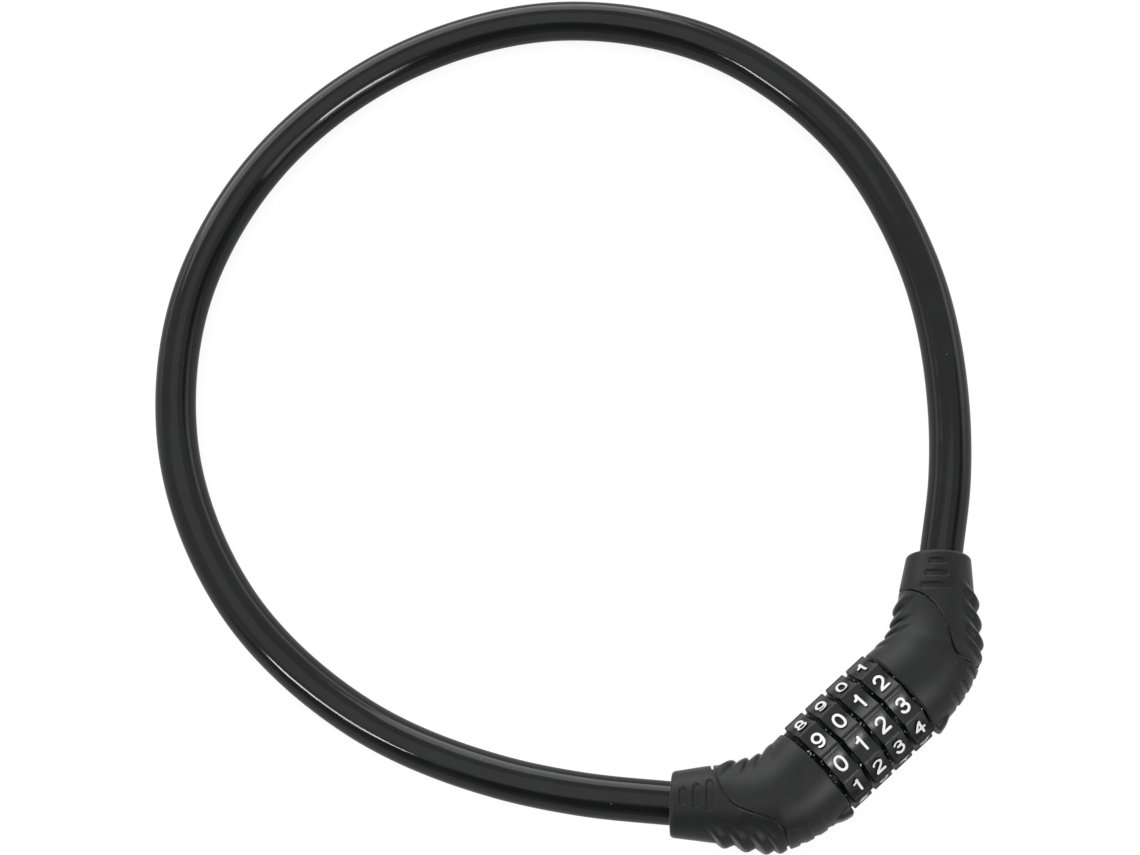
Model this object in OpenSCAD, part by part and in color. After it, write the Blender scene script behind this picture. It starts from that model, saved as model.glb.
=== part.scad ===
// Four-dial combination cable lock, lying flat with its cable loop closed.
// The lock axis runs along X, from the plug (-X) to the lock body (+X). The loop opens towards +Y.

/* [Dials] */
// Number of code dials
dial_count = 4; // [3:1:5]
// Radius of a dial over its ridges
dial_r = 14.8; // [14:0.1:17]
// Width of a dial along the lock axis
dial_w = 6.4; // [6:0.1:7]
// Clear space between two neighbouring dials
dial_gap = 1.3; // [1.0:0.1:2.0]
// Number of faces round a dial, one for each digit
dial_faces = 10; // [10:1:12]
// Radius of the hollow ground into each dial face
scoop_r = 11; // [9:0.5:16]
// Depth of that hollow under the flat of the face
scoop_depth = 0.8; // [0.4:0.1:1.2]
// Outer radius of the code ring inside a dial
hub_r = 10.8; // [10.4:0.1:11.4]
// Height of the keys that lock a code ring to its dial
key_h = 0.9; // [0.5:0.1:1.2]

/* [Barrel and bolt] */
// Outer radius of the barrel that the dials turn on
barrel_r = 8; // [7.5:0.1:8.4]
// Radius of the barrel's tail, seated in the lock's core
tail_r = 6.5; // [6:0.1:7]
// Length of that tail, and of the bolt's end in the plug's core
tail_len = 9; // [7:0.5:11]
// Radius of the bolt's rod
bolt_r = 4.9; // [4.2:0.1:5.2]
// Reach of the bolt's teeth from the lock axis
tooth_reach = 9.3; // [9:0.1:9.5]
// Width of a bolt tooth across the barrel's slot
tooth_w = 2.6; // [2:0.1:3]
// Length of a bolt tooth along the lock axis
tooth_len = 2; // [1.5:0.1:2.2]
// Outer radius of the spacer rings
spacer_r = 13.3; // [12:0.1:13.6]

/* [Housings] */
// Radius of a housing at its dial end
elbow_r = 13.9; // [13:0.1:14.5]
// Angle between the lock axis and the cable as it leaves a housing
bend_angle = 45; // [40:1:50]
// Radius of that bend on the centreline
bend_r = 28; // [27:0.5:32]
// Straight length between a housing's dial end and its bend
lead_in = 3; // [2:0.5:6]
// Straight length between the bend and the cable mouth
lead_out = 17.2; // [16:0.1:24]
// Radius of the collar at its cable mouth
mouth_r = 8.95; // [8.5:0.05:10]
// Clear space between the plug housing and the first dial
plug_gap = 1.6; // [1.4:0.1:2.2]
// Clear space between the lock housing and the last dial
lock_gap = 1; // [0.8:0.1:1.6]
// Width of the S-shaped parting groove between elbow and collar
seam_w = 0.4; // [0.3:0.05:0.6]
// Radius of the die-cast core inside a housing
core_r = 8.2; // [8.2:0.1:8.6]

/* [Grip and index] */
// Height of the ribs on the inner side of an elbow
inner_rib_h = 1.2; // [0.5:0.05:1.4]
// Height of the small ribs on the outer side of an elbow
outer_rib_h = 0.5; // [0.3:0.05:0.8]
// Height of the steps on the outer side of a collar
step_h = 1.45; // [0.8:0.05:1.8]
// Reach of the index fin from the lock axis
fin_reach = 14.75; // [14.5:0.05:16]
// Length of the index fin along the lock axis
fin_len = 8.7; // [6:0.1:10]
// Thickness of the index fin
fin_t = 9.4; // [6:0.2:12]
// Depth of the grip slots in a collar
slot_depth = 0.5; // [0.3:0.05:0.7]
// Width of a grip slot
slot_w = 1.9; // [1.2:0.1:2.2]
// Distance between two neighbouring grip slots
slot_pitch = 3.6; // [3:0.05:4]

/* [Cable] */
// Diameter of the cable over its jacket
cable_d = 12; // [11:0.1:12.4]
// Diameter of the steel rope inside the jacket
rope_d = 8; // [6:0.5:9]
// Radius of the crimped end sleeve of the rope
ferrule_r = 7.3; // [7:0.1:7.4]
// Radius of that sleeve's shank, seated in a core
shank_r = 3.5; // [3:0.1:4]
// Length of rope gripped in each end sleeve
crimp_len = 7; // [5:0.5:7.5]

/* [Fits] */
// Radial clearance of a part that turns or slides on another
running_fit = 0.06; // [0.03:0.01:0.1]
// Clearance round a part that is fixed in another
seat_fit = 0.1; // [0.05:0.01:0.15]
// Clear space on either side of a spacer ring
spacer_clear = 0.15; // [0.1:0.05:0.3]
// Clearance on either side of a bolt tooth in a gate
gate_clear = 0.4; // [0.3:0.05:0.6]
// Diameter of the cross pins
pin_d = 2.6; // [2:0.1:3]

/* [Hidden] */

round_fn = 96;
small_fn = 32;
cut = 1; // how far a cutting shape runs past the face that it cuts

// Colours
housing_colour = "#2b2c2e";
dial_colour = "#1c1d1f";
jacket_colour = "#232426";
steel_colour = "#b9bcc0";
zinc_colour = "#8d9096";

// The lock axis runs beside the middle of the lock's outline, so that the origin is under that middle
axis_y = -5.6;
axis_z = dial_r;

// Stack of dials along the lock axis
dial_pitch = dial_w + dial_gap;
stack_len = dial_count * dial_w + (dial_count - 1) * dial_gap;
face_x = (stack_len + plug_gap + lock_gap) / 2;
stack_start = -face_x + plug_gap;
stack_end = face_x - lock_gap;
function dial_start(i) = stack_start + i * dial_pitch;

// Code rings: a flange with the gate on the plug side, a groove for the tooth on the lock side
ring_inset = 0.1;
ring_w = dial_w - 2 * ring_inset;
tooth_play = 0.65;
groove_w = tooth_len + 2 * tooth_play;
flange_w = ring_w - groove_w;
groove_r = tooth_reach + gate_clear;
gate_w = tooth_w + 2 * gate_clear;
key_count = 5;
key_w = 2.4;

// Detent: bumps on a leaf spring, in notches of the code rings
notch_r = 1.5;
notch_depth = 0.6;
notch_centre = barrel_r + notch_depth - notch_r;
bump_r = notch_r - 0.3;
leaf_t = 0.3;
leaf_w = 1.6;
leaf_bed = barrel_r - 1.2;

// Barrel
nose_clear = 0.45;
nose_t = plug_gap - spacer_clear - nose_clear;
barrel_nose = stack_start - spacer_clear - nose_t;
core_inset = 0.3;
seat_x = face_x + core_inset;
bore_end = face_x + 3;
tip_clear = 0.6;
tip_chamfer = 1;

// Centreline of a housing: s is 0 where the bend starts and grows towards the cable
arc_len = bend_r * bend_angle * PI / 180;
face_s = -lead_in;
mouth_s = arc_len + lead_out;
bend_x = face_x + lead_in;
function bend_at(s) = min(max(s, 0), arc_len) / arc_len * bend_angle;
function spine(s) =
    let (a = bend_at(s), extra = s < 0 ? s : max(0, s - arc_len))
    [bend_x + bend_r * sin(a) + extra * cos(a), bend_r * (1 - cos(a)) + extra * sin(a), 0];
function outward(s) = let (a = bend_at(s)) [sin(a), -cos(a), 0];

// Radius of the housing's skin on the outer and the inner side of the bend, at s
collar_s = 11.5;
outer_profile = [[face_s, elbow_r], [collar_s, elbow_r - 0.1], [14.6, elbow_r - 1.5],
    [18, elbow_r - 2.7], [arc_len, elbow_r - 3.8], [arc_len + 5, mouth_r + 1], [mouth_s, mouth_r]];
inner_profile = [[face_s, elbow_r], [1, elbow_r - 0.2], [8, elbow_r - 1.3], [15, elbow_r - 1.9],
    [arc_len, elbow_r - 2.4], [arc_len + 7, mouth_r + 2], [mouth_s, mouth_r]];

// Parting line between elbow and collar: s at angle t from the outer side of the bend
seam_rise = 11.2;
seam_shoulder = 5.6;
function smooth(x) = let (u = min(max(x, 0), 1)) u * u * (3 - 2 * u);
function fold(t) = t > 180 ? 360 - t : t;
function seam(t) =
    collar_s + seam_rise * smooth((fold(t) - 54) / 43) + seam_shoulder * smooth((fold(t) - 81) / 64);
seam_middle = seam(90);

// Ribs and steps, as a height over the plain skin along an elbow or a collar
outer_ribs = [3.7, 6.55, 9.4];
outer_rib_half = 1.35;
inner_rib_table = [[-1.3, 0], [-0.7, 0.3], [-0.2, 0.48], [0.4, 0.55], [1, 0.53], [1.6, 0.4], [2.2, 0.15],
    [2.7, 0.67], [3.3, 0.83], [3.9, 0.8], [4.5, 0.65], [5.1, 0.27], [5.7, 0.78], [6.2, 1.08], [6.8, 1.06],
    [7.4, 0.89], [8, 0.58], [8.6, 0.4], [9.2, 1.04], [9.7, 0.8], [10.3, 0.25], [10.9, 0]];
step_table = [[collar_s, 0.1], [13.5, 0.75], [14.6, 0], [16.4, 1.1], [18, 0], [20.1, 1], [22, 0],
    [24.8, 0.85], [26.9, 0], [mouth_s, 0]];
function bump(x, centre, half) = abs(x - centre) < half ? cos(90 * (x - centre) / half) : 0;
function ribs_at(x, centres, half) = max([for (c = centres) bump(x, c, half)]);
function fade(t, full, gone) = 1 - smooth((t - full) / (gone - full));
function plain_r(s, t) =
    let (k = (1 + cos(t)) / 2) k * lookup(s, outer_profile) + (1 - k) * lookup(s, inner_profile);

// Rings of points that make the skins, from one end of a piece to the other
sides = 48;
elbow_rings = 24;
elbow_edge = 0.5;
mouth_edge = 1.2;
smooth_rings = 4;
step_end = 26.9;
mouth_start = mouth_s - mouth_edge;
collar_grid = concat(
    [collar_s, 13.5, 14.6, 16.4, 18, 20.1, 22, 24.8],
    [for (k = [0:smooth_rings - 1]) step_end + k * (mouth_start - step_end) / smooth_rings],
    [mouth_start, mouth_s - 0.4 * mouth_edge, mouth_s]);
function skin_point(s, t, r) = spine(s) + r * (cos(t) * outward(s) + [0, 0, sin(t)]);
function elbow_point(g, t) =
    let (s = face_s + (g - face_s) * (seam(t) - seam_w / 2 - face_s) / (collar_s - face_s),
        ribs = outer_rib_h * ribs_at(g, outer_ribs, outer_rib_half) * fade(fold(t), 22, 42)
            + inner_rib_h * lookup(g, inner_rib_table) * fade(180 - fold(t), 26, 58),
        edge = max(0, elbow_edge - (g - face_s)))
    skin_point(s, t, plain_r(s, t) + ribs - edge);
// The steps run square to the lock axis, so on the upper and lower faces they slant towards the mouth
function slant(g, t) =
    (1 - cos(min(fold(t), 60))) * fade(fold(t), 60, 110) * tan(bend_at(g)) * plain_r(g, t)
        * smooth((g - collar_s) / 5) * smooth((mouth_start - g) / 12);
function collar_point(g, t) =
    let (from = seam(t) + seam_w / 2,
        s = from + (g - collar_s) * (mouth_s - from) / (mouth_s - collar_s) + slant(g, t),
        steps = step_h * lookup(g, step_table) * fade(fold(t), 24, 58),
        x = max(0, 1 - (mouth_s - g) / mouth_edge),
        edge = 0.75 * mouth_edge * (1 - sqrt(1 - x * x)))
    skin_point(s, t, plain_r(s, t) + steps - edge);

// Closed skin over rings of points, with a middle point on each end
function skin_faces(count, n) = concat(
    [for (j = [0:count - 2]) for (i = [0:n - 1])
        [j * n + i, j * n + (i + 1) % n, (j + 1) * n + i]],
    [for (j = [0:count - 2]) for (i = [0:n - 1])
        [j * n + (i + 1) % n, (j + 1) * n + (i + 1) % n, (j + 1) * n + i]],
    [for (i = [0:n - 1]) [count * n, (i + 1) % n, i]],
    [for (i = [0:n - 1]) [count * n + 1, (count - 1) * n + i, (count - 1) * n + (i + 1) % n]]);
module skin(rings, first, last) {
    points = concat([for (ring = rings) for (p = ring) p], [first, last]);
    polyhedron(points, skin_faces(len(rings), len(rings[0])), convexity = 6);
}

// Route of the cable along its centreline, from the lock body's rope end to the plug's
mouth_lock = [51.4, 14.3, 14.8];
mouth_plug = [-50.8, 15.0, 14.8];
route_middle = [
    [69.5, 29, 14.5], [86, 46, 13], [111, 83, 9], [124.5, 131, 6.5], [117, 179.5, 6.1],
    [87.5, 219.5, 6.1], [43, 242, 6.1], [-6.5, 244.5, 6.1], [-52.5, 226.5, 6.1],
    [-86.5, 190.5, 6.1], [-102.5, 143.5, 6.5], [-98.5, 94, 8], [-80.5, 53, 12.3], [-67, 33.5, 14.4]];
cable_sides = 12;
ring_step = 24;
jacket_in = 6.2; // how far the jacket reaches into a collar
jacket_s = mouth_s - jacket_in;
function place(p, side) = [side * p[0], p[1] + axis_y, axis_z];
function leave(side) = [side * cos(bend_angle), sin(bend_angle), 0];
route = concat([place(spine(jacket_s), 1), mouth_lock], route_middle,
    [mouth_plug, place(spine(jacket_s), -1)]);

// Smooth curve through the route's points, with tangents weighted by the lengths on either side
last_point = len(route) - 1;
function chord(i) = norm(route[i + 1] - route[i]);
function slope(i) = (route[i + 1] - route[i]) / chord(i);
function tangent(i) =
    i == 0 ? leave(1) :
    i == last_point ? -leave(-1) :
    (slope(i) * chord(i - 1) + slope(i - 1) * chord(i)) / (chord(i) + chord(i - 1));
function on_route(i, u) =
    let (a = route[i], b = route[i + 1], h = chord(i), ta = tangent(i) * h, tb = tangent(i + 1) * h)
    (2 * pow(u, 3) - 3 * pow(u, 2) + 1) * a + (pow(u, 3) - 2 * pow(u, 2) + u) * ta
        + (3 * pow(u, 2) - 2 * pow(u, 3)) * b + (pow(u, 3) - pow(u, 2)) * tb;
cable_line = concat(
    [for (i = [0:last_point - 1])
        let (n = max(1, round(chord(i) / ring_step)))
        for (k = [0:n - 1]) on_route(i, k / n)],
    [route[last_point]]);
rope_line = concat([route[0] - crimp_len * leave(1)], cable_line,
    [route[last_point] - crimp_len * leave(-1)]);

// Rings of a tube along a line: square to the line, with one corner straight down
function unit(v) = v / norm(v);
function line_dir(line, i) =
    i == 0 ? leave(1) :
    i == len(line) - 1 ? -leave(-1) :
    unit(unit(line[i + 1] - line[i]) + unit(line[i] - line[i - 1]));
function tube_ring(line, i, r) =
    let (d = line_dir(line, i), side = unit(cross([0, 0, 1], d)), up = cross(d, side))
    [for (k = [cable_sides - 1:-1:0])
        let (t = 360 * k / cable_sides) line[i] + r * (cos(t) * side + sin(t) * up)];
function tube_rings(line, r) = [for (i = [0:len(line) - 1]) tube_ring(line, i, r)];

// Hollow tube: outer rings, inner rings and a flat band at each end
function wall_faces(count, n, first, flip) =
    [for (j = [0:count - 2]) for (i = [0:n - 1]) for (half = [0:1])
        let (a = first + j * n + i, b = first + j * n + (i + 1) % n,
            f = half == 0 ? [a, b, a + n] : [b, b + n, a + n])
        flip ? [f[2], f[1], f[0]] : f];
function band_faces(n, outer, inner, flip) =
    [for (i = [0:n - 1]) for (half = [0:1])
        let (k = (i + 1) % n,
            f = half == 0 ? [outer + k, outer + i, inner + i] : [outer + k, inner + i, inner + k])
        flip ? [f[2], f[1], f[0]] : f];
module hollow_tube(line, outer, inner) {
    n = cable_sides;
    count = len(line);
    core = count * n;
    last = core - n;
    points = concat([for (ring = tube_rings(line, outer)) for (p = ring) p],
        [for (ring = tube_rings(line, inner)) for (p = ring) p]);
    faces = concat(wall_faces(count, n, 0, false), wall_faces(count, n, core, true),
        band_faces(n, 0, core, false), band_faces(n, last, core + last, true));
    polyhedron(points, faces, convexity = 6);
}

// What lies on the lock axis is drawn round X and then put in its place
module on_axis() {
    translate([0, axis_y, axis_z]) children();
}
module other_side() {
    mirror([1, 0, 0]) children();
}
module along_x(from, length) {
    translate([from, 0, 0]) rotate([0, 90, 0]) linear_extrude(height = length) children();
}
module rod(from, to, r) {
    translate([from, 0, 0]) rotate([0, 90, 0]) cylinder(r = r, h = to - from, $fn = round_fn);
}
// Places things on the cable's own axis in a housing: X is s, counted from the end of the bend
module on_cable_axis() {
    translate(spine(arc_len)) rotate([0, 0, bend_angle]) children();
}
module cable_rod(from, to, r) {
    on_cable_axis() rod(from - arc_len, to - arc_len, r);
}
// Round bar that follows the bend: a core fills it, and its housing is hollowed by it.
// A low ring covers each joint between its bend and a straight stretch
joint_ring = 0.05;
joint_half = 0.6;
module bent_bar(from, to, r) {
    rod(from, bend_x, r);
    rod(bend_x - joint_half, bend_x + joint_half, r + joint_ring);
    translate([bend_x, bend_r, 0]) rotate([0, 0, -90])
        rotate_extrude(angle = bend_angle, $fn = round_fn)
            translate([bend_r, 0]) circle(r = r, $fn = round_fn);
    cable_rod(arc_len - joint_half, arc_len + joint_half, r + joint_ring);
    cable_rod(arc_len, to, r);
}

// Way for the bolt's teeth, on the outer side of the loop, as a flat shape across the lock axis
module tooth_way(width, reach) {
    translate([-width / 2, -reach]) square([width, reach]);
}

// Dial: ridges with a hollow between each two, round a keyed bore
module dial(i) {
    apothem = dial_r * cos(180 / dial_faces);
    color(dial_colour) on_axis() along_x(dial_start(i), dial_w) difference() {
        circle(r = dial_r, $fn = dial_faces);
        for (n = [0:dial_faces - 1])
            rotate(360 / dial_faces * (n + 0.5))
                translate([apothem - scoop_depth + scoop_r, 0]) circle(r = scoop_r, $fn = round_fn);
        keyed_disc(hub_r + seat_fit, key_w + 2 * seat_fit, hub_r + key_h + seat_fit);
    }
}
module keyed_disc(r, width, reach) {
    circle(r = r, $fn = round_fn);
    for (i = [0:key_count - 1])
        rotate(90 + i * 360 / key_count) translate([0, -width / 2]) square([reach, width]);
}

// Code ring: keyed in its dial, with the gate, the detent notches and the groove for the tooth
module code_ring(i) {
    start = dial_start(i) + ring_inset;
    color(zinc_colour) on_axis() {
        along_x(start, flange_w) difference() {
            keyed_disc(hub_r, key_w, hub_r + key_h);
            circle(r = barrel_r + running_fit, $fn = round_fn);
            tooth_way(gate_w, groove_r);
            for (n = [0:dial_faces - 1])
                rotate(90 + 360 / dial_faces * n)
                    translate([notch_centre, 0]) circle(r = notch_r, $fn = small_fn);
        }
        along_x(start + flange_w, groove_w) difference() {
            keyed_disc(hub_r, key_w, hub_r + key_h);
            circle(r = groove_r, $fn = round_fn);
        }
    }
}

// Ring on the barrel, with a gap that lets the bolt's teeth through
module barrel_ring(from, thickness) {
    along_x(from, thickness) difference() {
        circle(r = spacer_r, $fn = round_fn);
        circle(r = barrel_r + running_fit, $fn = round_fn);
        tooth_way(gate_w, groove_r);
    }
}
module nose_ring() {
    color(steel_colour) on_axis() barrel_ring(barrel_nose, nose_t);
}
module spacer_rings() {
    color(steel_colour) on_axis() {
        for (i = [1:dial_count - 1])
            barrel_ring(dial_start(i) - dial_gap + spacer_clear, dial_gap - 2 * spacer_clear);
        barrel_ring(stack_end + spacer_clear, lock_gap - 2 * spacer_clear);
    }
}

// Barrel: slotted tube that the dials turn on, with a tail that is pinned in the lock's core
module barrel() {
    slot_all = tooth_w + gate_clear;
    bed_w = leaf_w + 2 * seat_fit;
    color(zinc_colour) on_axis() difference() {
        union() {
            rod(barrel_nose, seat_x, barrel_r);
            rod(seat_x, seat_x + tail_len, tail_r);
        }
        rod(barrel_nose - cut, bore_end, bolt_r + running_fit);
        translate([barrel_nose - cut, -barrel_r - cut, -slot_all / 2])
            cube([stack_end - barrel_nose + cut, barrel_r + cut, slot_all]);
        translate([stack_start, leaf_bed, -bed_w / 2])
            cube([stack_len, barrel_r, bed_w]);
        pin_hole(seat_x + tail_len / 2);
    }
}

// Leaf spring in the barrel's inner side, with one bump for each dial
module detent_spring() {
    color(steel_colour) on_axis() translate([0, 0, -leaf_w / 2]) linear_extrude(height = leaf_w) {
        translate([stack_start + ring_inset, leaf_bed]) square([stack_len - 2 * ring_inset, leaf_t]);
        for (i = [0:dial_count - 1])
            intersection() {
                translate([dial_start(i) + ring_inset + flange_w / 2, notch_centre])
                    circle(r = bump_r, $fn = small_fn);
                translate([stack_start, leaf_bed]) square([stack_len, barrel_r]);
            }
    }
}

// Bolt: rod with a row of teeth and a chamfered tip, pinned in the plug's core
module bolt() {
    tip = bore_end - tip_clear;
    color(steel_colour) on_axis() difference() {
        union() {
            rotate([0, 90, 0]) rotate_extrude($fn = round_fn) polygon([
                [0, -seat_x - tail_len], [bolt_r, -seat_x - tail_len], [bolt_r, tip - tip_chamfer],
                [bolt_r - tip_chamfer, tip], [0, tip]]);
            for (i = [0:dial_count - 1])
                along_x(dial_start(i) + ring_inset + flange_w + tooth_play, tooth_len)
                    intersection() {
                        circle(r = tooth_reach, $fn = round_fn);
                        tooth_way(tooth_w, tooth_reach);
                    }
        }
        pin_hole(-seat_x - tail_len / 2);
    }
}

// Cross pins, upright through a core and the piece that it holds
pin_len = 2 * core_r - 3;
module pin_hole(x) {
    translate([x, 0, -core_r - cut])
        cylinder(d = pin_d + 2 * running_fit, h = 2 * (core_r + cut), $fn = small_fn);
}
module cross_pin(x) {
    translate([x, 0, -pin_len / 2]) cylinder(d = pin_d, h = pin_len, $fn = small_fn);
}
module barrel_pin() {
    color(steel_colour) on_axis() cross_pin(seat_x + tail_len / 2);
}
module bolt_pin() {
    color(steel_colour) on_axis() cross_pin(-seat_x - tail_len / 2);
}

// Places on the cable's axis, counted from the end of the bend
shank_start = -5;
shank_pin = -1.5;
core_end = 2.5;
ferrule_start = core_end + 0.2;
ferrule_end = jacket_s - arc_len;
mouth_bore = cable_d / 2 + 0.9;
mouth_turn = 4; // keeps the seam of that bore clear of the points of the skin

// Core: bent die casting that joins the barrel or the bolt to the end of the rope
module core(bore) {
    difference() {
        bent_bar(seat_x, arc_len + core_end, core_r);
        rod(seat_x - cut, seat_x + tail_len + seat_fit, bore + seat_fit);
        on_cable_axis() {
            rod(shank_start - seat_fit, core_end + cut, shank_r + seat_fit);
            pin_hole(shank_pin);
        }
        pin_hole(seat_x + tail_len / 2);
    }
}
module lock_core() {
    color(zinc_colour) on_axis() core(tail_r);
}
module plug_core() {
    color(zinc_colour) on_axis() other_side() core(bolt_r);
}

// Ferrule: crimped on the rope, with a shank that is pinned in the core
module ferrule() {
    edge = 0.5;
    length = ferrule_end - ferrule_start;
    waist_r = ferrule_r - edge;
    on_cable_axis() difference() {
        translate([ferrule_start, 0, 0]) rotate([0, 90, 0]) rotate_extrude($fn = round_fn) polygon([
            [0, shank_start - ferrule_start], [shank_r - edge, shank_start - ferrule_start],
            [shank_r, shank_start - ferrule_start + edge], [shank_r, 0], [waist_r, 0],
            [ferrule_r, edge], [ferrule_r, length * 0.3], [waist_r, length * 0.4],
            [waist_r, length * 0.6], [ferrule_r, length * 0.7], [ferrule_r, length - edge],
            [waist_r, length], [0, length]]);
        rod(ferrule_end - crimp_len - seat_fit, ferrule_end + cut, rope_d / 2 + seat_fit);
        pin_hole(shank_pin);
    }
}
module ferrule_pin() {
    on_cable_axis() cross_pin(shank_pin);
}
module lock_ferrule() {
    color(steel_colour) on_axis() ferrule();
}
module lock_ferrule_pin() {
    color(steel_colour) on_axis() ferrule_pin();
}
module plug_ferrule() {
    color(steel_colour) on_axis() other_side() ferrule();
}
module plug_ferrule_pin() {
    color(steel_colour) on_axis() other_side() ferrule_pin();
}

// Hollow of a housing, for its core and for the ferrule
module housing_hollow() {
    bent_bar(face_x - cut, arc_len + core_end + seat_fit, core_r + seat_fit);
    on_cable_axis() rod(core_end, ferrule_end + seat_fit, ferrule_r + seat_fit);
}

// Elbow: the smooth moulding from the dial end to the parting groove, with its index fin
fin_root = 1.5;
fin_flat = 0.6;
fin_drop = 0.4; // how far the fin's back has fallen halfway along it
module elbow() {
    rings = [for (j = [-1:elbow_rings])
        let (g = j < 0 ? face_s : face_s + elbow_edge + j * (collar_s - face_s - elbow_edge) / elbow_rings)
        [for (i = [0:sides - 1]) elbow_point(g, 360 * i / sides)]];
    difference() {
        union() {
            skin(rings, spine(face_s), spine(seam_middle - seam_w / 2));
            translate([0, 0, -fin_t / 2]) linear_extrude(height = fin_t)
                polygon([[face_x, fin_root - elbow_r], [face_x, -fin_reach],
                    [face_x + fin_flat, -fin_reach], [face_x + fin_len / 2, fin_drop - fin_reach],
                    [face_x + fin_len, fin_root - elbow_r]]);
        }
        housing_hollow();
    }
}
module lock_elbow() {
    color(housing_colour) on_axis() elbow();
}
module plug_elbow() {
    color(housing_colour) on_axis() other_side() elbow();
}

// Collar: the ribbed moulding round the cable's end, with grip slots on its upper and lower faces.
// Each slot has its distance from the mouth, its length and how far its middle lies to the inner side
slot_inset = 3.4;
slots = [[slot_inset, 5, 1], [slot_inset + slot_pitch, 6.8, 1.2], [slot_inset + 2 * slot_pitch, 8.6, 1.5]];
module grip_slots() {
    for (slot = slots)
        let (s = mouth_s - slot[0], half = (slot[1] - slot_w) / 2, floor_r = plain_r(s, 90) - slot_depth)
        difference() {
            on_cable_axis() translate([s - arc_len, slot[2], 0]) linear_extrude(height = elbow_r) {
                translate([0, -half]) circle(d = slot_w, $fn = small_fn);
                translate([0, half]) circle(d = slot_w, $fn = small_fn);
                translate([-slot_w / 2, -half]) square([slot_w, 2 * half]);
            }
            cable_rod(s - slot_w, s + slot_w, floor_r);
        }
}
module collar() {
    rings = [for (g = collar_grid) [for (i = [0:sides - 1]) collar_point(g, 360 * i / sides)]];
    difference() {
        skin(rings, spine(seam_middle + seam_w / 2), spine(mouth_s));
        housing_hollow();
        on_cable_axis() rotate([mouth_turn, 0, 0]) rod(ferrule_end, mouth_s + cut - arc_len, mouth_bore);
        grip_slots();
        mirror([0, 0, 1]) grip_slots();
    }
}
module lock_collar() {
    color(housing_colour) on_axis() collar();
}
module plug_collar() {
    color(housing_colour) on_axis() other_side() collar();
}

// Cable: plastic jacket over a steel rope whose bare ends are gripped by the ferrules
module cable_jacket() {
    color(jacket_colour) hollow_tube(cable_line, cable_d / 2, rope_d / 2 + running_fit);
}
module cable_rope() {
    color(steel_colour)
        skin(tube_rings(rope_line, rope_d / 2), rope_line[0], rope_line[len(rope_line) - 1]);
}

lock_elbow();
lock_collar();
lock_core();
barrel();
barrel_pin();
nose_ring();
spacer_rings();
detent_spring();
lock_ferrule();
lock_ferrule_pin();
cable_jacket();
cable_rope();
for (i = [1:dial_count]) {
    dial(i - 1);
    code_ring(i - 1);
}
plug_elbow();
plug_collar();
plug_core();
bolt();
bolt_pin();
plug_ferrule();
plug_ferrule_pin();
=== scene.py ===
"""Looks of a four-dial combination cable lock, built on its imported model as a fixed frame.

Lengths are written in millimetres and turned into metres where a mesh is made. The shared frame has +Z up
and the lock axis along X, from the plug (-X) to the lock body (+X), with the cable's loop towards +Y.
"""

import logging
import math
from dataclasses import dataclass
from enum import Enum
from typing import Any, Sequence

import bmesh
import bpy
import numpy as np
from bpy.types import Material, Mesh, Node, NodeSocket, NodeTree, Object
from mathutils import Matrix, Vector


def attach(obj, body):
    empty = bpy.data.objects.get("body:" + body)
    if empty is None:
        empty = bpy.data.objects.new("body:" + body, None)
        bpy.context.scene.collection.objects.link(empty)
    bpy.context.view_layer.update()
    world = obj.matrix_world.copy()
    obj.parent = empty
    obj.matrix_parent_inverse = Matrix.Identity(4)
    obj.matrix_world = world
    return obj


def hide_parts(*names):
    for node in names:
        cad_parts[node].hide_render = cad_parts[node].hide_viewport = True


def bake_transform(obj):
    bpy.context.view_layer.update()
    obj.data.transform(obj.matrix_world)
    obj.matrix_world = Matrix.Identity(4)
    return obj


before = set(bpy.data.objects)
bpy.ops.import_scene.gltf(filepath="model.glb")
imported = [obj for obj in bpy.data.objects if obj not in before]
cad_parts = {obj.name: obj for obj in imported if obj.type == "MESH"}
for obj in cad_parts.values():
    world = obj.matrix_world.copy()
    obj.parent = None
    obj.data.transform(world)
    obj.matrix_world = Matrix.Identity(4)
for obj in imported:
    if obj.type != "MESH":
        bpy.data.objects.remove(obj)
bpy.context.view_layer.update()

log = logging.getLogger("cable_lock")
MM = 0.001
AXIS_Y = -5.6
AXIS_Z = 14.8
WHITE = (1.0, 1.0, 1.0, 1.0)
WAYS = ("along", "around")
Array = np.ndarray
Pair = tuple[float, float]
Triple = tuple[float, float, float]


class Side(Enum):
    """Which of the two housings a piece belongs to; the value turns lengths along X into its place."""

    LOCK = 1
    PLUG = -1


class Slot(Enum):
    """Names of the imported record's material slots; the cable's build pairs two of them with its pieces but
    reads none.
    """

    HOUSING = "housing"
    DIAL = "dial"
    JACKET = "jacket"
    STEEL = "steel"


# Small tools for colours, nodes and meshes


def linear(hex_colour: str) -> tuple[float, float, float, float]:
    """Turns an sRGB hex colour into linear RGBA.

    Args:
        hex_colour: Colour such as "#2b2c2e".

    Returns:
        Linear red, green, blue and an alpha of 1.
    """
    values = [int(hex_colour[i : i + 2], 16) / 255 for i in (1, 3, 5)]
    red, green, blue = (v / 12.92 if v <= 0.04045 else ((v + 0.055) / 1.055) ** 2.4 for v in values)
    return red, green, blue, 1.0


def fill(tree: NodeTree, target: NodeSocket, value: Any) -> None:
    """Links an output to an input, or writes a plain value there.

    Args:
        tree: Node tree of both.
        target: The input.
        value: Output, node whose first open output is meant, plain value, or None for no change.
    """
    if isinstance(value, Node):
        value = next(output for output in value.outputs if output.enabled)
    if isinstance(value, NodeSocket):
        tree.links.new(value, target)
    elif value is not None:
        target.default_value = value


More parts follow.
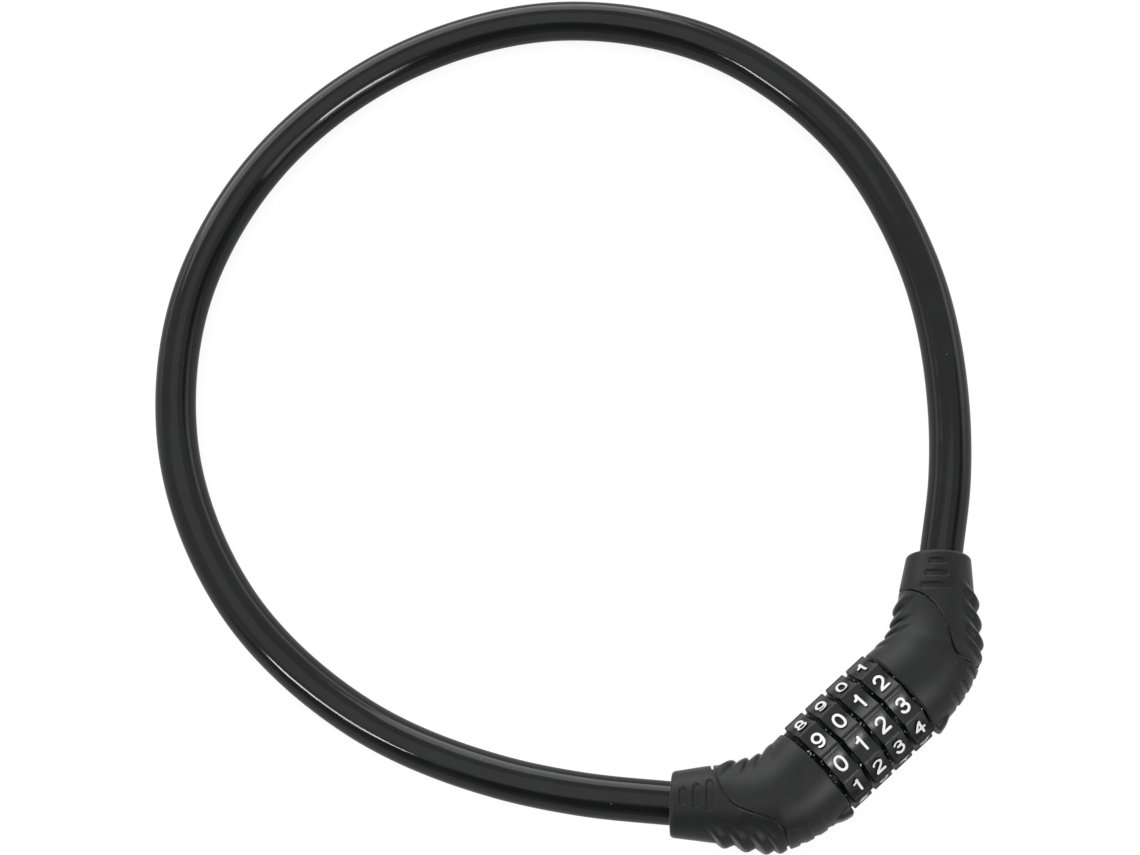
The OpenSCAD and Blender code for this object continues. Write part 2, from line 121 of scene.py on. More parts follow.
def add_node(tree: NodeTree, kind: str, inputs: Sequence[Any] | dict[str | int, Any] = (),
             **settings: Any) -> Node:
    """Adds a node with its settings and fills or links its inputs.

    Args:
        tree: Node tree of a material, the world or a geometry group.
        kind: Blender's name of the node type, which may leave out a leading "ShaderNode".
        inputs: Values by input name, or in the order of the inputs that the settings leave open.
        settings: Properties of the node.

    Returns:
        The new node.
    """
    node = tree.nodes.new(kind if "Node" in kind else f"ShaderNode{kind}")
    for name, value in settings.items():
        setattr(node, name, value)
    if not isinstance(inputs, dict):
        inputs = dict(zip([i for i, socket in enumerate(node.inputs) if socket.enabled], inputs))
    for key, value in inputs.items():
        fill(tree, node.inputs[key], value)
    return node


def empty_tree(owner: Material | bpy.types.World) -> NodeTree:
    """Gives a material or the world an empty node tree.

    Args:
        owner: The material or the world.

    Returns:
        Its tree.
    """
    owner.use_nodes = True
    owner.node_tree.nodes.clear()
    return owner.node_tree


def per_mm(size: float) -> float:
    """Texture scale, in turns a metre, of a pattern whose grain is that many millimetres."""
    return 1 / (size * MM)


def new_object(name: str, data: bpy.types.ID) -> Object:
    """Puts a mesh, curve, lamp or camera into the scene, at the origin."""
    obj = bpy.data.objects.new(name, data)
    bpy.context.scene.collection.objects.link(obj)
    return obj


def plain_mesh(host: Object) -> Mesh:
    """Turns a helper object and its modifiers into a plain mesh.

    Args:
        host: The helper, which is removed.

    Returns:
        The mesh.
    """
    bpy.context.view_layer.update()
    mesh = bpy.data.meshes.new_from_object(host.evaluated_get(bpy.context.evaluated_depsgraph_get()))
    bpy.data.objects.remove(host)
    return mesh


def ended_mesh(name: str, work: bmesh.types.BMesh) -> Mesh:
    """Turns a made mesh's faces outwards and ends its making.

    Args:
        name: Name of the mesh.
        work: The mesh in the making, which is freed.

    Returns:
        The plain mesh.
    """
    bmesh.ops.recalc_face_normals(work, faces=work.faces[:])
    mesh = bpy.data.meshes.new(name)
    work.to_mesh(mesh)
    work.free()
    return mesh


def finished_piece(name: str, mesh: Mesh, material: Material,
                   sharp_deg: float) -> Object:
    """Makes a piece from its mesh, shaded smooth between crisp edges.

    Args:
        name: Name of the piece.
        mesh: Its mesh, in metres.
        material: Material of the whole piece.
        sharp_deg: Edges steeper than this many degrees stay crisp.

    Returns:
        The piece, at the origin.
    """
    mesh.name = name
    mesh.shade_smooth()
    mesh.set_sharp_from_angle(angle=math.radians(sharp_deg))
    mesh.materials.clear()
    mesh.materials.append(material)
    return new_object(name, mesh)


def mesh_piece(name: str, points: Array, faces: Sequence[Sequence[int]], material: Material,
               sharp_deg: float) -> Object:
    """Makes a piece from points in millimetres.

    Args:
        name: Name of the piece.
        points: Points in the shared frame, in millimetres.
        faces: Indices of each face's points, outward faces anticlockwise.
        material: Material of the whole piece.
        sharp_deg: Edges steeper than this many degrees stay crisp.

    Returns:
        The piece, at the origin.
    """
    mesh = bpy.data.meshes.new(name)
    mesh.from_pydata((np.asarray(points) * MM).tolist(), [], [list(map(int, f)) for f in faces])
    mesh.validate()
    mesh.update()
    return finished_piece(name, mesh, material, sharp_deg)


class NodeTool:
    """A Geometry Nodes group with named inputs, which turns one mesh into another."""

    def __init__(self, name: str, inputs: dict[str, str]) -> None:
        """Starts the group.

        Args:
            name: Name of the group.
            inputs: Kind of socket of each named input.
        """
        self.tree = bpy.data.node_groups.new(name, "GeometryNodeTree")
        face = self.tree.interface
        kinds = {"Mesh": "Geometry", **inputs, "Finish": "Material"}
        self.names = {key: face.new_socket(key, in_out="INPUT", socket_type=f"NodeSocket{kind}").identifier
                      for key, kind in kinds.items()}
        face.new_socket("Result", in_out="OUTPUT", socket_type="NodeSocketGeometry")
        self.given = add_node(self.tree, "NodeGroupInput").outputs

    def end(self, result: Node) -> None:
        """Gives the result its material and ends the group.

        Args:
            result: Node of the finished, realized geometry.
        """
        dressed = add_node(self.tree, "GeometryNodeSetMaterial", {
            "Geometry": result, "Material": self.given["Finish"]})
        add_node(self.tree, "NodeGroupOutput", (dressed,))

    def run(self, mesh: Mesh, values: dict[str, Any]) -> Mesh:
        """Runs the group.

        Args:
            mesh: The mesh that it starts from.
            values: Value of each named input.

        Returns:
            The result as a plain mesh.
        """
        host = new_object(mesh.name, mesh)
        modifier = host.modifiers.new(self.tree.name, "NODES")
        modifier.node_group = self.tree
        for name, value in values.items():
            modifier[self.names[name]] = value
        return plain_mesh(host)


def smooth_step(x: Array) -> Array:
    """Rises smoothly from 0 to 1 as x goes from 0 to 1."""
    u = np.clip(x, 0, 1)
    return u * u * (3 - 2 * u)


class Profile:
    """A length that changes along a piece: straight stretches between points, with rounded corners."""

    def __init__(self, points: Sequence[Pair], rounding: float, step: float = 0.05) -> None:
        """Samples the profile and rounds its corners.

        Args:
            points: Places along the piece, each with the length there, in millimetres.
            rounding: Width of the rounding of corners.
            step: Distance between samples.
        """
        places, values = np.array(points, float).T
        margin = 4 * rounding
        self.places = np.arange(places[0] - margin, places[-1] + margin + step, step)
        raw = np.interp(self.places, places, values)
        reach = max(1, int(math.ceil(3 * rounding / step)))
        kernel = np.exp(-0.5 * (np.arange(-reach, reach + 1) * step / rounding) ** 2)
        self.values = np.convolve(np.pad(raw, reach, mode="edge"), kernel / kernel.sum(), mode="valid")

    def __call__(self, x: Array | float) -> Array:
        """Length at one or more places."""
        return np.interp(x, self.places, self.values)


# Finishes


@dataclass
class Coat:
    """A material in the making: its nodes, its colour so far and the height of its finest relief."""

    tree: NodeTree
    shader: Node
    place: NodeSocket
    clouds: Node
    colour: Node
    fine: Node


@dataclass(frozen=True)
class Finish:
    """What every finish shares: clouds of a second tone, layers of relief, and settled dust.

    Sizes are in millimetres. A relief has the size of its waves, their depth and their detail. Dust is drawn
    up to 0.4 mm across, several times the real size, because a finer speck would not show.
    """

    name: str
    colour: str
    roughness: float
    metallic: float = 0.0
    cloud_colour: str = ""
    cloud_shade: float = 1.0
    cloud_size: float = 9.0
    cloud_detail: float = 3.0
    cloud_twist: float = 0.0
    cloud_edges: Pair = (0.4, 0.7)
    cloud_share: float = 1.0
    rough_edges: Pair = (0.7, 1.4)
    rough_change: Pair = (-0.05, 0.1)
    reliefs: tuple[Triple, ...] = ()
    fine_depth: float = 0.0
    dust_share: float = 0.0
    dust_pitch: float = 2.6
    dust_radius: float = 0.16
    dust_core: float = 0.6
    dust_cover: float = 0.6
    dust_colour: str = "#9a9a9a"

    def build(self) -> Material:
        """Builds the material.

        Returns:
            The material.
        """
        material = bpy.data.materials.new(self.name)
        tree = empty_tree(material)
        shader = add_node(tree, "BsdfPrincipled", {
            "Base Color": linear(self.colour), "Roughness": self.roughness, "Metallic": self.metallic})
        add_node(tree, "OutputMaterial", (shader,))
        place = add_node(tree, "TexCoord").outputs["Object"]
        clouds = add_node(tree, "TexNoise", {
            "Vector": place, "Scale": per_mm(self.cloud_size), "Detail": self.cloud_detail,
            "Distortion": self.cloud_twist})
        second = [self.cloud_shade * part for part in linear(self.cloud_colour or self.colour)[:3]]
        mottle = add_node(tree, "MapRange", (clouds, *self.cloud_edges, 0, self.cloud_share))
        mixed = add_node(tree, "Mix", (mottle, linear(self.colour), (*second, 1.0)), data_type="RGBA")
        coat = Coat(tree, shader, place, clouds, mixed, clouds)
        self.work(coat)
        if self.dust_share:
            self.dust(coat)
        normal = None
        for size, depth, detail in self.reliefs:
            waves = add_node(tree, "TexNoise", {"Vector": place, "Scale": per_mm(size), "Detail": detail})
            normal = add_node(tree, "Bump", {"Height": waves, "Distance": depth * MM, "Normal": normal})
        if self.fine_depth:
            normal = add_node(tree, "Bump", {
                "Height": coat.fine, "Distance": self.fine_depth * MM, "Normal": normal})
        fill(tree, shader.inputs["Base Color"], coat.colour)
        fill(tree, shader.inputs["Normal"], normal)
        return material

    def work(self, coat: Coat) -> None:
        """Adds what is this finish's own; a plain one has nothing more."""

    def dust(self, coat: Coat) -> None:
        """Scatters specks of dust over the colour.

        Args:
            coat: The material in the making.
        """
        cells = add_node(coat.tree, "TexVoronoi", {"Vector": coat.place, "Scale": per_mm(self.dust_pitch)})
        edge = self.dust_radius / self.dust_pitch
        near = add_node(coat.tree, "MapRange", (cells, edge * self.dust_core, edge, 1, 0))
        picked = add_node(coat.tree, "SeparateColor", (cells.outputs["Color"],))
        chosen = add_node(coat.tree, "Math", (picked, 1 - self.dust_share), operation="GREATER_THAN")
        speck = add_node(coat.tree, "Math", (near, chosen), operation="MULTIPLY")
        cover = add_node(coat.tree, "Math", (speck, self.dust_cover), operation="MULTIPLY")
        grey = linear(self.dust_colour)
        coat.colour = add_node(coat.tree, "Mix", (cover, coat.colour, grey), data_type="RGBA")

    def tool_marks(self, coat: Coat, stretch: Triple, size: float, detail: float) -> None:
        """Draws fine marks in one direction, which the gloss follows.

        Args:
            coat: The material in the making.
            stretch: How much closer the marks are each way.
            size: Distance between them.
            detail: Detail of the pattern.
        """
        drawn = add_node(coat.tree, "Mapping", {"Vector": coat.place, "Scale": stretch})
        coat.fine = add_node(coat.tree, "TexNoise", {
            "Vector": drawn, "Scale": per_mm(size), "Detail": detail})
        self.uneven_gloss(coat, coat.fine)

    def uneven_gloss(self, coat: Coat, pattern: Node) -> None:
        """Lets the roughness follow a pattern and the clouds.

        Args:
            coat: The material in the making.
            pattern: The pattern.
        """
        both = add_node(coat.tree, "Math", (pattern, coat.clouds), operation="ADD")
        ends = [self.roughness + change for change in self.rough_change]
        rough = add_node(coat.tree, "MapRange", (both, *self.rough_edges, *ends))
        fill(coat.tree, coat.shader.inputs["Roughness"], rough)


@dataclass(frozen=True)
class MouldedShell(Finish):
    """Soft-touch ABS, moulded on a finely eroded tool.

    The eye sees an even matt black without highlights, a pale bloom towards the edges, and faint paler
    streaks that stand for rubbing by hands and for the soft sheen of the elbows, so partly a painted sheen.
    The tool's
    0.1 mm grain is drawn at 0.35 mm, because it would not show.
    """

    cloud_colour: str = "#18191a"
    cloud_twist: float = 0.6
    cloud_edges: Pair = (0.35, 0.7)
    rough_edges: Pair = (0.3, 1.0)
    rough_change: Pair = (-0.05, 0.08)
    reliefs: tuple[Triple, ...] = ((5.0, 0.05, 1.0), (0.35, 0.012, 2.0))
    dust_share: float = 0.10
    dust_colour: str = "#8b8c8e"
    # Paler streaks: rubbing by hands, and partly a painted sheen where the elbows catch the light.
    rub_and_sheen_colour: str = "#333437"
    rub_and_sheen_turn: Triple = (0.3, 0.2, 0.7)
    rub_and_sheen_stretch: Triple = (1.0, 7.0, 7.0)
    rub_and_sheen_size: float = 6.0
    rub_and_sheen_edges: Pair = (0.58, 0.8)
    rub_and_sheen_share: float = 0.35
    bloom: float = 0.6
    bloom_roughness: float = 0.32

    def work(self, coat: Coat) -> None:
        """Adds the paler streaks, partly rubbing and partly a painted sheen, and the bloom.

        Args:
            coat: The material in the making.
        """
        # Paler streaks: partly rubbing, partly a painted sheen.
        stretched = add_node(coat.tree, "Mapping", {
            "Vector": coat.place, "Rotation": self.rub_and_sheen_turn, "Scale": self.rub_and_sheen_stretch})
        streaks = add_node(coat.tree, "TexNoise", {
            "Vector": stretched, "Scale": per_mm(self.rub_and_sheen_size), "Detail": 4.0, "Distortion": 0.4})
        rub_and_sheen_mask = add_node(coat.tree, "MapRange", (streaks, *self.rub_and_sheen_edges, 0, self.rub_and_sheen_share))
        pale = linear(self.rub_and_sheen_colour)
        coat.colour = add_node(coat.tree, "Mix", (rub_and_sheen_mask, coat.colour, pale), data_type="RGBA")
        self.uneven_gloss(coat, rub_and_sheen_mask)
        coat.shader.inputs["Sheen Weight"].default_value = self.bloom
        coat.shader.inputs["Sheen Roughness"].default_value = self.bloom_roughness


@dataclass(frozen=True)
class PolishedDial(Finish):
    """Black ABS from a polished tool.

    The eye sees a wetter black than on the housings, with soft reflections drawn out along the faces. The
    tool's hairlines are 0.02 mm wide and are drawn at 0.12 mm, because they would not show.
    """

    cloud_colour: str = "#1d1e20"
    cloud_size: float = 4.0
    cloud_detail: float = 2.0
    reliefs: tuple[Triple, ...] = ((4.0, 0.03, 2.0),)
    fine_depth: float = 0.004
    dust_share: float = 0.16
    dust_pitch: float = 1.5
    dust_radius: float = 0.13
    dust_cover: float = 0.75
    dust_colour: str = "#b4b4b4"
    hairline: float = 0.12
    hair_stretch: Triple = (0.06, 1.0, 1.0)

    def work(self, coat: Coat) -> None:
        """Adds the hairlines, along the lock's axis.

        Args:
            coat: The material in the making.
        """
        self.tool_marks(coat, self.hair_stretch, self.hairline, detail=3.0)


@dataclass(frozen=True)
class DigitPaint(Finish):
    """White enamel rolled on raised digits.

    The eye sees a dense, slightly uneven white with a low shine, greyer at a few spots where it is thin.
    """

    cloud_colour: str = "#bfbfbd"
    cloud_size: float = 0.6
    cloud_twist: float = 0.3
    cloud_edges: Pair = (0.66, 0.78)
    cloud_share: float = 0.3
    fine_depth: float = 0.012


@dataclass(frozen=True)
class ExtrudedJacket(Finish):
    """PVC, extruded over the rope.

    The eye sees a glossy black whose long reflections waver a little, with hairline scratches along the
    cable and dust. A scratch is 0.05 mm wide and is drawn at about 0.2 mm, because it would not show.
    """

    cloud_colour: str = "#1a1b1c"
    cloud_size: float = 14.0
    reliefs: tuple[Triple, ...] = ((16.0, 0.25, 1.0), (3.5, 0.02, 2.0))
    fine_depth: float = 0.0015
    dust_share: float = 0.07
    dust_pitch: float = 4.5
    dust_radius: float = 0.2
    lines_per_metre: float = 18.0
    lines_round: float = 160.0
    scratch_edges: Pair = (0.62, 0.72)
    scratch_haze: float = 0.06
    cloud_haze: float = 0.05
    haze_edges: Pair = (0.3, 0.8)

    def work(self, coat: Coat) -> None:
        """Adds the scratches, which follow the cable, and the haze of its gloss.

        Args:
            coat: The material in the making.
        """
        tree = coat.tree
        along, around = (add_node(tree, "Attribute", attribute_name=way).outputs["Fac"] for way in WAYS)
        on_tube = add_node(tree, "CombineXYZ", (along, around))
        drawn = add_node(tree, "Mapping", {
            "Vector": on_tube, "Scale": (self.lines_per_metre, self.lines_round, 1.0)})
        coat.fine = add_node(tree, "TexNoise", {"Vector": drawn, "Scale": 1.0, "Detail": 3.0})
        scratch = add_node(tree, "MapRange", (coat.fine, *self.scratch_edges, 0, 1))
        scratched = add_node(tree, "Math", (scratch, self.scratch_haze), operation="MULTIPLY")
        clouded = add_node(tree, "MapRange", (coat.clouds, *self.haze_edges, 0, self.cloud_haze))
        haze = add_node(tree, "Math", (clouded, scratched), operation="ADD")
        rough = add_node(tree, "Math", (haze, self.roughness), operation="ADD")
        fill(tree, coat.shader.inputs["Roughness"], rough)


@dataclass(frozen=True)
class MachinedMetal(Finish):
    """Turned, drawn or cast metal.

    The eye sees a metal shine broken by fine tool lines and a mottled oxide tone, and on the rims small pale
    spots: painted glints, drawn as spots of wear. Tool lines are 0.05 mm apart and are drawn two to ten times
    coarser, because they would not show.
    """

    metallic: float = 1.0
    cloud_shade: float = 0.7
    cloud_size: float = 2.5
    cloud_twist: float = 0.2
    cloud_edges: Pair = (0.4, 0.75)
    cloud_share: float = 0.5
    rough_change: Pair = (-0.06, 0.12)
    fine_depth: float = 0.006
    line: float = 0.15
    line_stretch: Triple = (1.0, 0.1, 0.1)
    # Pale spots on the rims: painted glints, drawn as wear on the metal.
    glint_and_wear: float = 0.0
    glint_and_wear_size: float = 0.9
    glint_and_wear_edges: Pair = (0.66, 0.72)
    glint_and_wear_colour: str = "#e4e5e6"
    rim_edges: Pair = (0.3, 0.75)

    def work(self, coat: Coat) -> None:
        """Adds the pale spots on the rims, away from the flat ends, which are painted glints drawn as wear,
        and the tool lines.

        Args:
            coat: The material in the making.
        """
        tree = coat.tree
        normal = add_node(tree, "TexCoord").outputs["Normal"]
        facing = add_node(tree, "SeparateXYZ", (normal,))
        flat = add_node(tree, "Math", (facing,), operation="ABSOLUTE")
        # Painted glints: pale spots on the rims, away from the flat ends.
        rim = add_node(tree, "MapRange", (flat, *self.rim_edges, self.glint_and_wear, 0))
        noise = add_node(tree, "TexNoise", {
            "Vector": coat.place, "Scale": per_mm(self.glint_and_wear_size), "Detail": 2.0, "Distortion": 0.8})
        spots = add_node(tree, "MapRange", (noise, *self.glint_and_wear_edges, 0, 1))
        glint_and_wear_mask = add_node(tree, "Math", (spots, rim), operation="MULTIPLY")
        bright = linear(self.glint_and_wear_colour)
        coat.colour = add_node(tree, "Mix", (glint_and_wear_mask, coat.colour, bright), data_type="RGBA")
        self.tool_marks(coat, self.line_stretch, self.line, detail=2.0)


class Finishes:
    """All finishes of the lock, built once."""

    def __init__(self) -> None:
        """Builds the materials."""
        # Housings: the deepest, dullest black of the lock, on which only the forms' edges shine.
        self.shell = MouldedShell("moulded_soft_touch_abs_matt", "#0e0f10", 0.5).build()
        # Dials: black again, with a clear shine on each hollow face.
        self.dial = PolishedDial("moulded_abs_semi_gloss", "#131415", 0.27).build()
        # Digits: the only white on the lock.
        self.paint = DigitPaint("rolled_white_enamel", "#f6f6f3", 0.42).build()
        # Cable: mirror-like black plastic with long bright streaks.
        self.jacket = ExtrudedJacket("extruded_pvc_gloss", "#171718", 0.09).build()
        # Rope: pale grey zinc, dull from drawing and stranding.
        self.rope = MachinedMetal("galvanised_steel_wire", "#9b9da0", 0.42, line=0.3).build()
        # Detent spring: the brightest metal, smooth from its plating.
        self.plated = MachinedMetal("nickel_plated_steel_bright", "#c9cbce", 0.25, line=0.1).build()
        # Rings between the dials: oily black, with pale spots on the rims that are painted glints, drawn as
        # wear where the dials rub.
        self.black = MachinedMetal("oiled_black_oxide_steel", "#0e0f10", 0.3, line=0.1, glint_and_wear=0.8).build()
        # Bolt, pins and ferrules: plain bright steel with tool lines.
        self.turned = MachinedMetal("turned_steel", "#a9abae", 0.33).build()
        # Cores, barrel and code rings: grey and satin, with the wide clouds of a casting.
        self.cast = MachinedMetal("die_cast_zinc_satin", "#8a8d92", 0.45, line=0.5, cloud_size=4.0).build()


# Studio


@dataclass(frozen=True)
class Lamp:
    """Rectangular lamp that faces the middle of the loop: place and size in millimetres, roll in degrees.

    A radiance of 1 looks white. A lamp for gloss only shows in reflections and leaves matt shading alone.
    """

    name: str
    place: Triple
    size: Pair
    radiance: float
    roll: float = 0.0
    gloss_only: bool = False


@dataclass
class Studio:
    """White table under a soft ceiling, with a softbox over it, smaller lamps round it, and the camera."""

    camera_place: Triple = (-106.97, -81.18, 667.92)
    view_axis: Triple = (0.15722, 0.28336, -0.94604)
    image_right: Triple = (0.74064, -0.66749, -0.07684)
    lens_mm: float = 75.59
    sensor_mm: float = 36.0
    far_clip: float = 20.0
    loop_middle: Triple = (10.0, 115.0, 6.0)
    table_half: float = 2500.0
    table_colour: str = "#808080"
    table_glow: float = 0.87
    mirrored_glow: float = 0.25
    fill_light: float = 0.8
    soft_side: float = 0.4
    ceiling: float = 0.03
    side_edges: Pair = (-0.72, -0.62)
    near_edges: Pair = (-0.34, -0.22)
    sweep_edges: Pair = (0.18, 0.46)
    lit_edges: Pair = (0.0, 0.6)
    lit_levels: Pair = (0.2, 1.25)
    watts_per_square_metre: float = 4.0
    lamps: tuple[Lamp, ...] = (
        Lamp("softbox", (-230, 230, 1600), (1500, 2000), 0.24),
        Lamp("near_lamp", (60, -810, 760), (300, 200), 10.0, gloss_only=True),
        Lamp("left_lamp", (-1150, 340, 740), (360, 90), 18.0, 45.0, gloss_only=True),
        Lamp("side", (190, -1030, 800), (800, 600), 1.1),
        Lamp("backdrop", (380, 1150, 430), (1300, 860), 1.2))

    def axes(self) -> tuple[Vector, Vector, Vector]:
        """Directions to the right, up and back as the camera sees them."""
        back = -Vector(self.view_axis).normalized()
        right = Vector(self.image_right)
        right = (right - right.dot(back) * back).normalized()
        return right, back.cross(right), back

    def build_camera(self) -> None:
        """Adds the camera and makes it the scene's own."""
        data = bpy.data.cameras.new("studio_camera")
        data.lens, data.sensor_width, data.clip_end = self.lens_mm, self.sensor_mm, self.far_clip
        camera = new_object("studio_camera", data)
        turn = Matrix(self.axes()).transposed().to_4x4()
        camera.matrix_world = Matrix.Translation(Vector(self.camera_place) * MM) @ turn
        bpy.context.scene.camera = camera

    def build_table(self) -> None:
        """Adds the white table top, which shows white to the camera and still takes the lock's shadow."""
        material = bpy.data.materials.new("white_table")
        tree = empty_tree(material)
        paper = add_node(tree, "BsdfDiffuse", {"Color": linear(self.table_colour)})
        ray = add_node(tree, "LightPath").outputs
        rays = (ray["Is Camera Ray"], ray["Is Transmission Ray"])
        seen = add_node(tree, "Math", rays, operation="MAXIMUM")
        direct = add_node(tree, "Math", (seen, self.table_glow), operation="MULTIPLY")
        mirrored = add_node(tree, "Math", (ray["Is Glossy Ray"], self.mirrored_glow), operation="MULTIPLY")
        strength = add_node(tree, "Math", (direct, mirrored), operation="ADD")
        glow = add_node(tree, "Emission", {"Color": WHITE, "Strength": strength})
        add_node(tree, "OutputMaterial", (add_node(tree, "AddShader", (paper, glow)),))
        half = self.table_half
        corners = [(-half, -half, 0), (half, -half, 0), (half, half, 0), (-half, half, 0)]
        mesh_piece("table_top", np.array(corners), [(0, 1, 2, 3)], material, 35)

    def build_world(self) -> None:
        """Sets the surround: even fill for matt surfaces, and a white sweep under a dark ceiling for gloss.

        The reflected ceiling is softly bright over the table and dark towards the viewer and the far right.
        """
        world = bpy.data.worlds.new("studio_surround")
        bpy.context.scene.world = world
        tree = empty_tree(world)
        way = add_node(tree, "TexCoord").outputs["Generated"]
        right, up, _ = self.axes()
        parts = [add_node(tree, "VectorMath", (way, tuple(axis)), operation="DOT_PRODUCT")
                 for axis in (-right, up)]
        sides = [add_node(tree, "MapRange", (part, *edges, 0, 1))
                 for part, edges in zip(parts, (self.side_edges, self.near_edges))]
        side = add_node(tree, "Math", sides, operation="MULTIPLY")
        overhead = add_node(tree, "MapRange", (side, 0, 1, self.ceiling, self.soft_side))
        height = add_node(tree, "SeparateXYZ", (way,)).outputs["Z"]
        sweep = add_node(tree, "MapRange", (height, *self.sweep_edges, 1, 0))
        lit = add_node(tree, "MapRange", (parts[1], *self.lit_edges, *self.lit_levels))
        low = add_node(tree, "Math", (sweep, lit), operation="MULTIPLY")
        level = add_node(tree, "Math", (overhead, low), operation="MAXIMUM")
        seen = add_node(tree, "Background", {"Color": WHITE, "Strength": level})
        matt = add_node(tree, "Background", {"Color": WHITE, "Strength": self.fill_light})
        ray = add_node(tree, "LightPath").outputs
        direct = add_node(tree, "Math", (ray["Is Camera Ray"], ray["Is Glossy Ray"]), operation="MAXIMUM")
        direct = add_node(tree, "Math", (direct, ray["Is Transmission Ray"]), operation="MAXIMUM")
        add_node(tree, "OutputWorld", (add_node(tree, "MixShader", (direct, matt, seen)),))

    def add_lamp(self, lamp: Lamp) -> None:
        """Hangs a lamp.

        Args:
            lamp: Its design.
        """
        data = bpy.data.lights.new(lamp.name, "AREA")
        data.shape = "RECTANGLE"
        data.size, data.size_y = lamp.size[0] * MM, lamp.size[1] * MM
        data.energy = lamp.radiance * self.watts_per_square_metre * data.size * data.size_y
        hung = new_object(lamp.name, data)
        hung.visible_diffuse = not lamp.gloss_only
        place = Vector(lamp.place)
        turn = (place - Vector(self.loop_middle)).to_track_quat("Z", "Y").to_matrix().to_4x4()
        roll = Matrix.Rotation(math.radians(lamp.roll), 4, "Z")
        hung.matrix_world = Matrix.Translation(place * MM) @ turn @ roll

    def build(self) -> None:
        """Builds the studio."""
        self.build_camera()
        self.build_table()
        self.build_world()
        for lamp in self.lamps:
            self.add_lamp(lamp)
        bpy.context.scene.view_settings.view_transform = "Standard"


# Cable


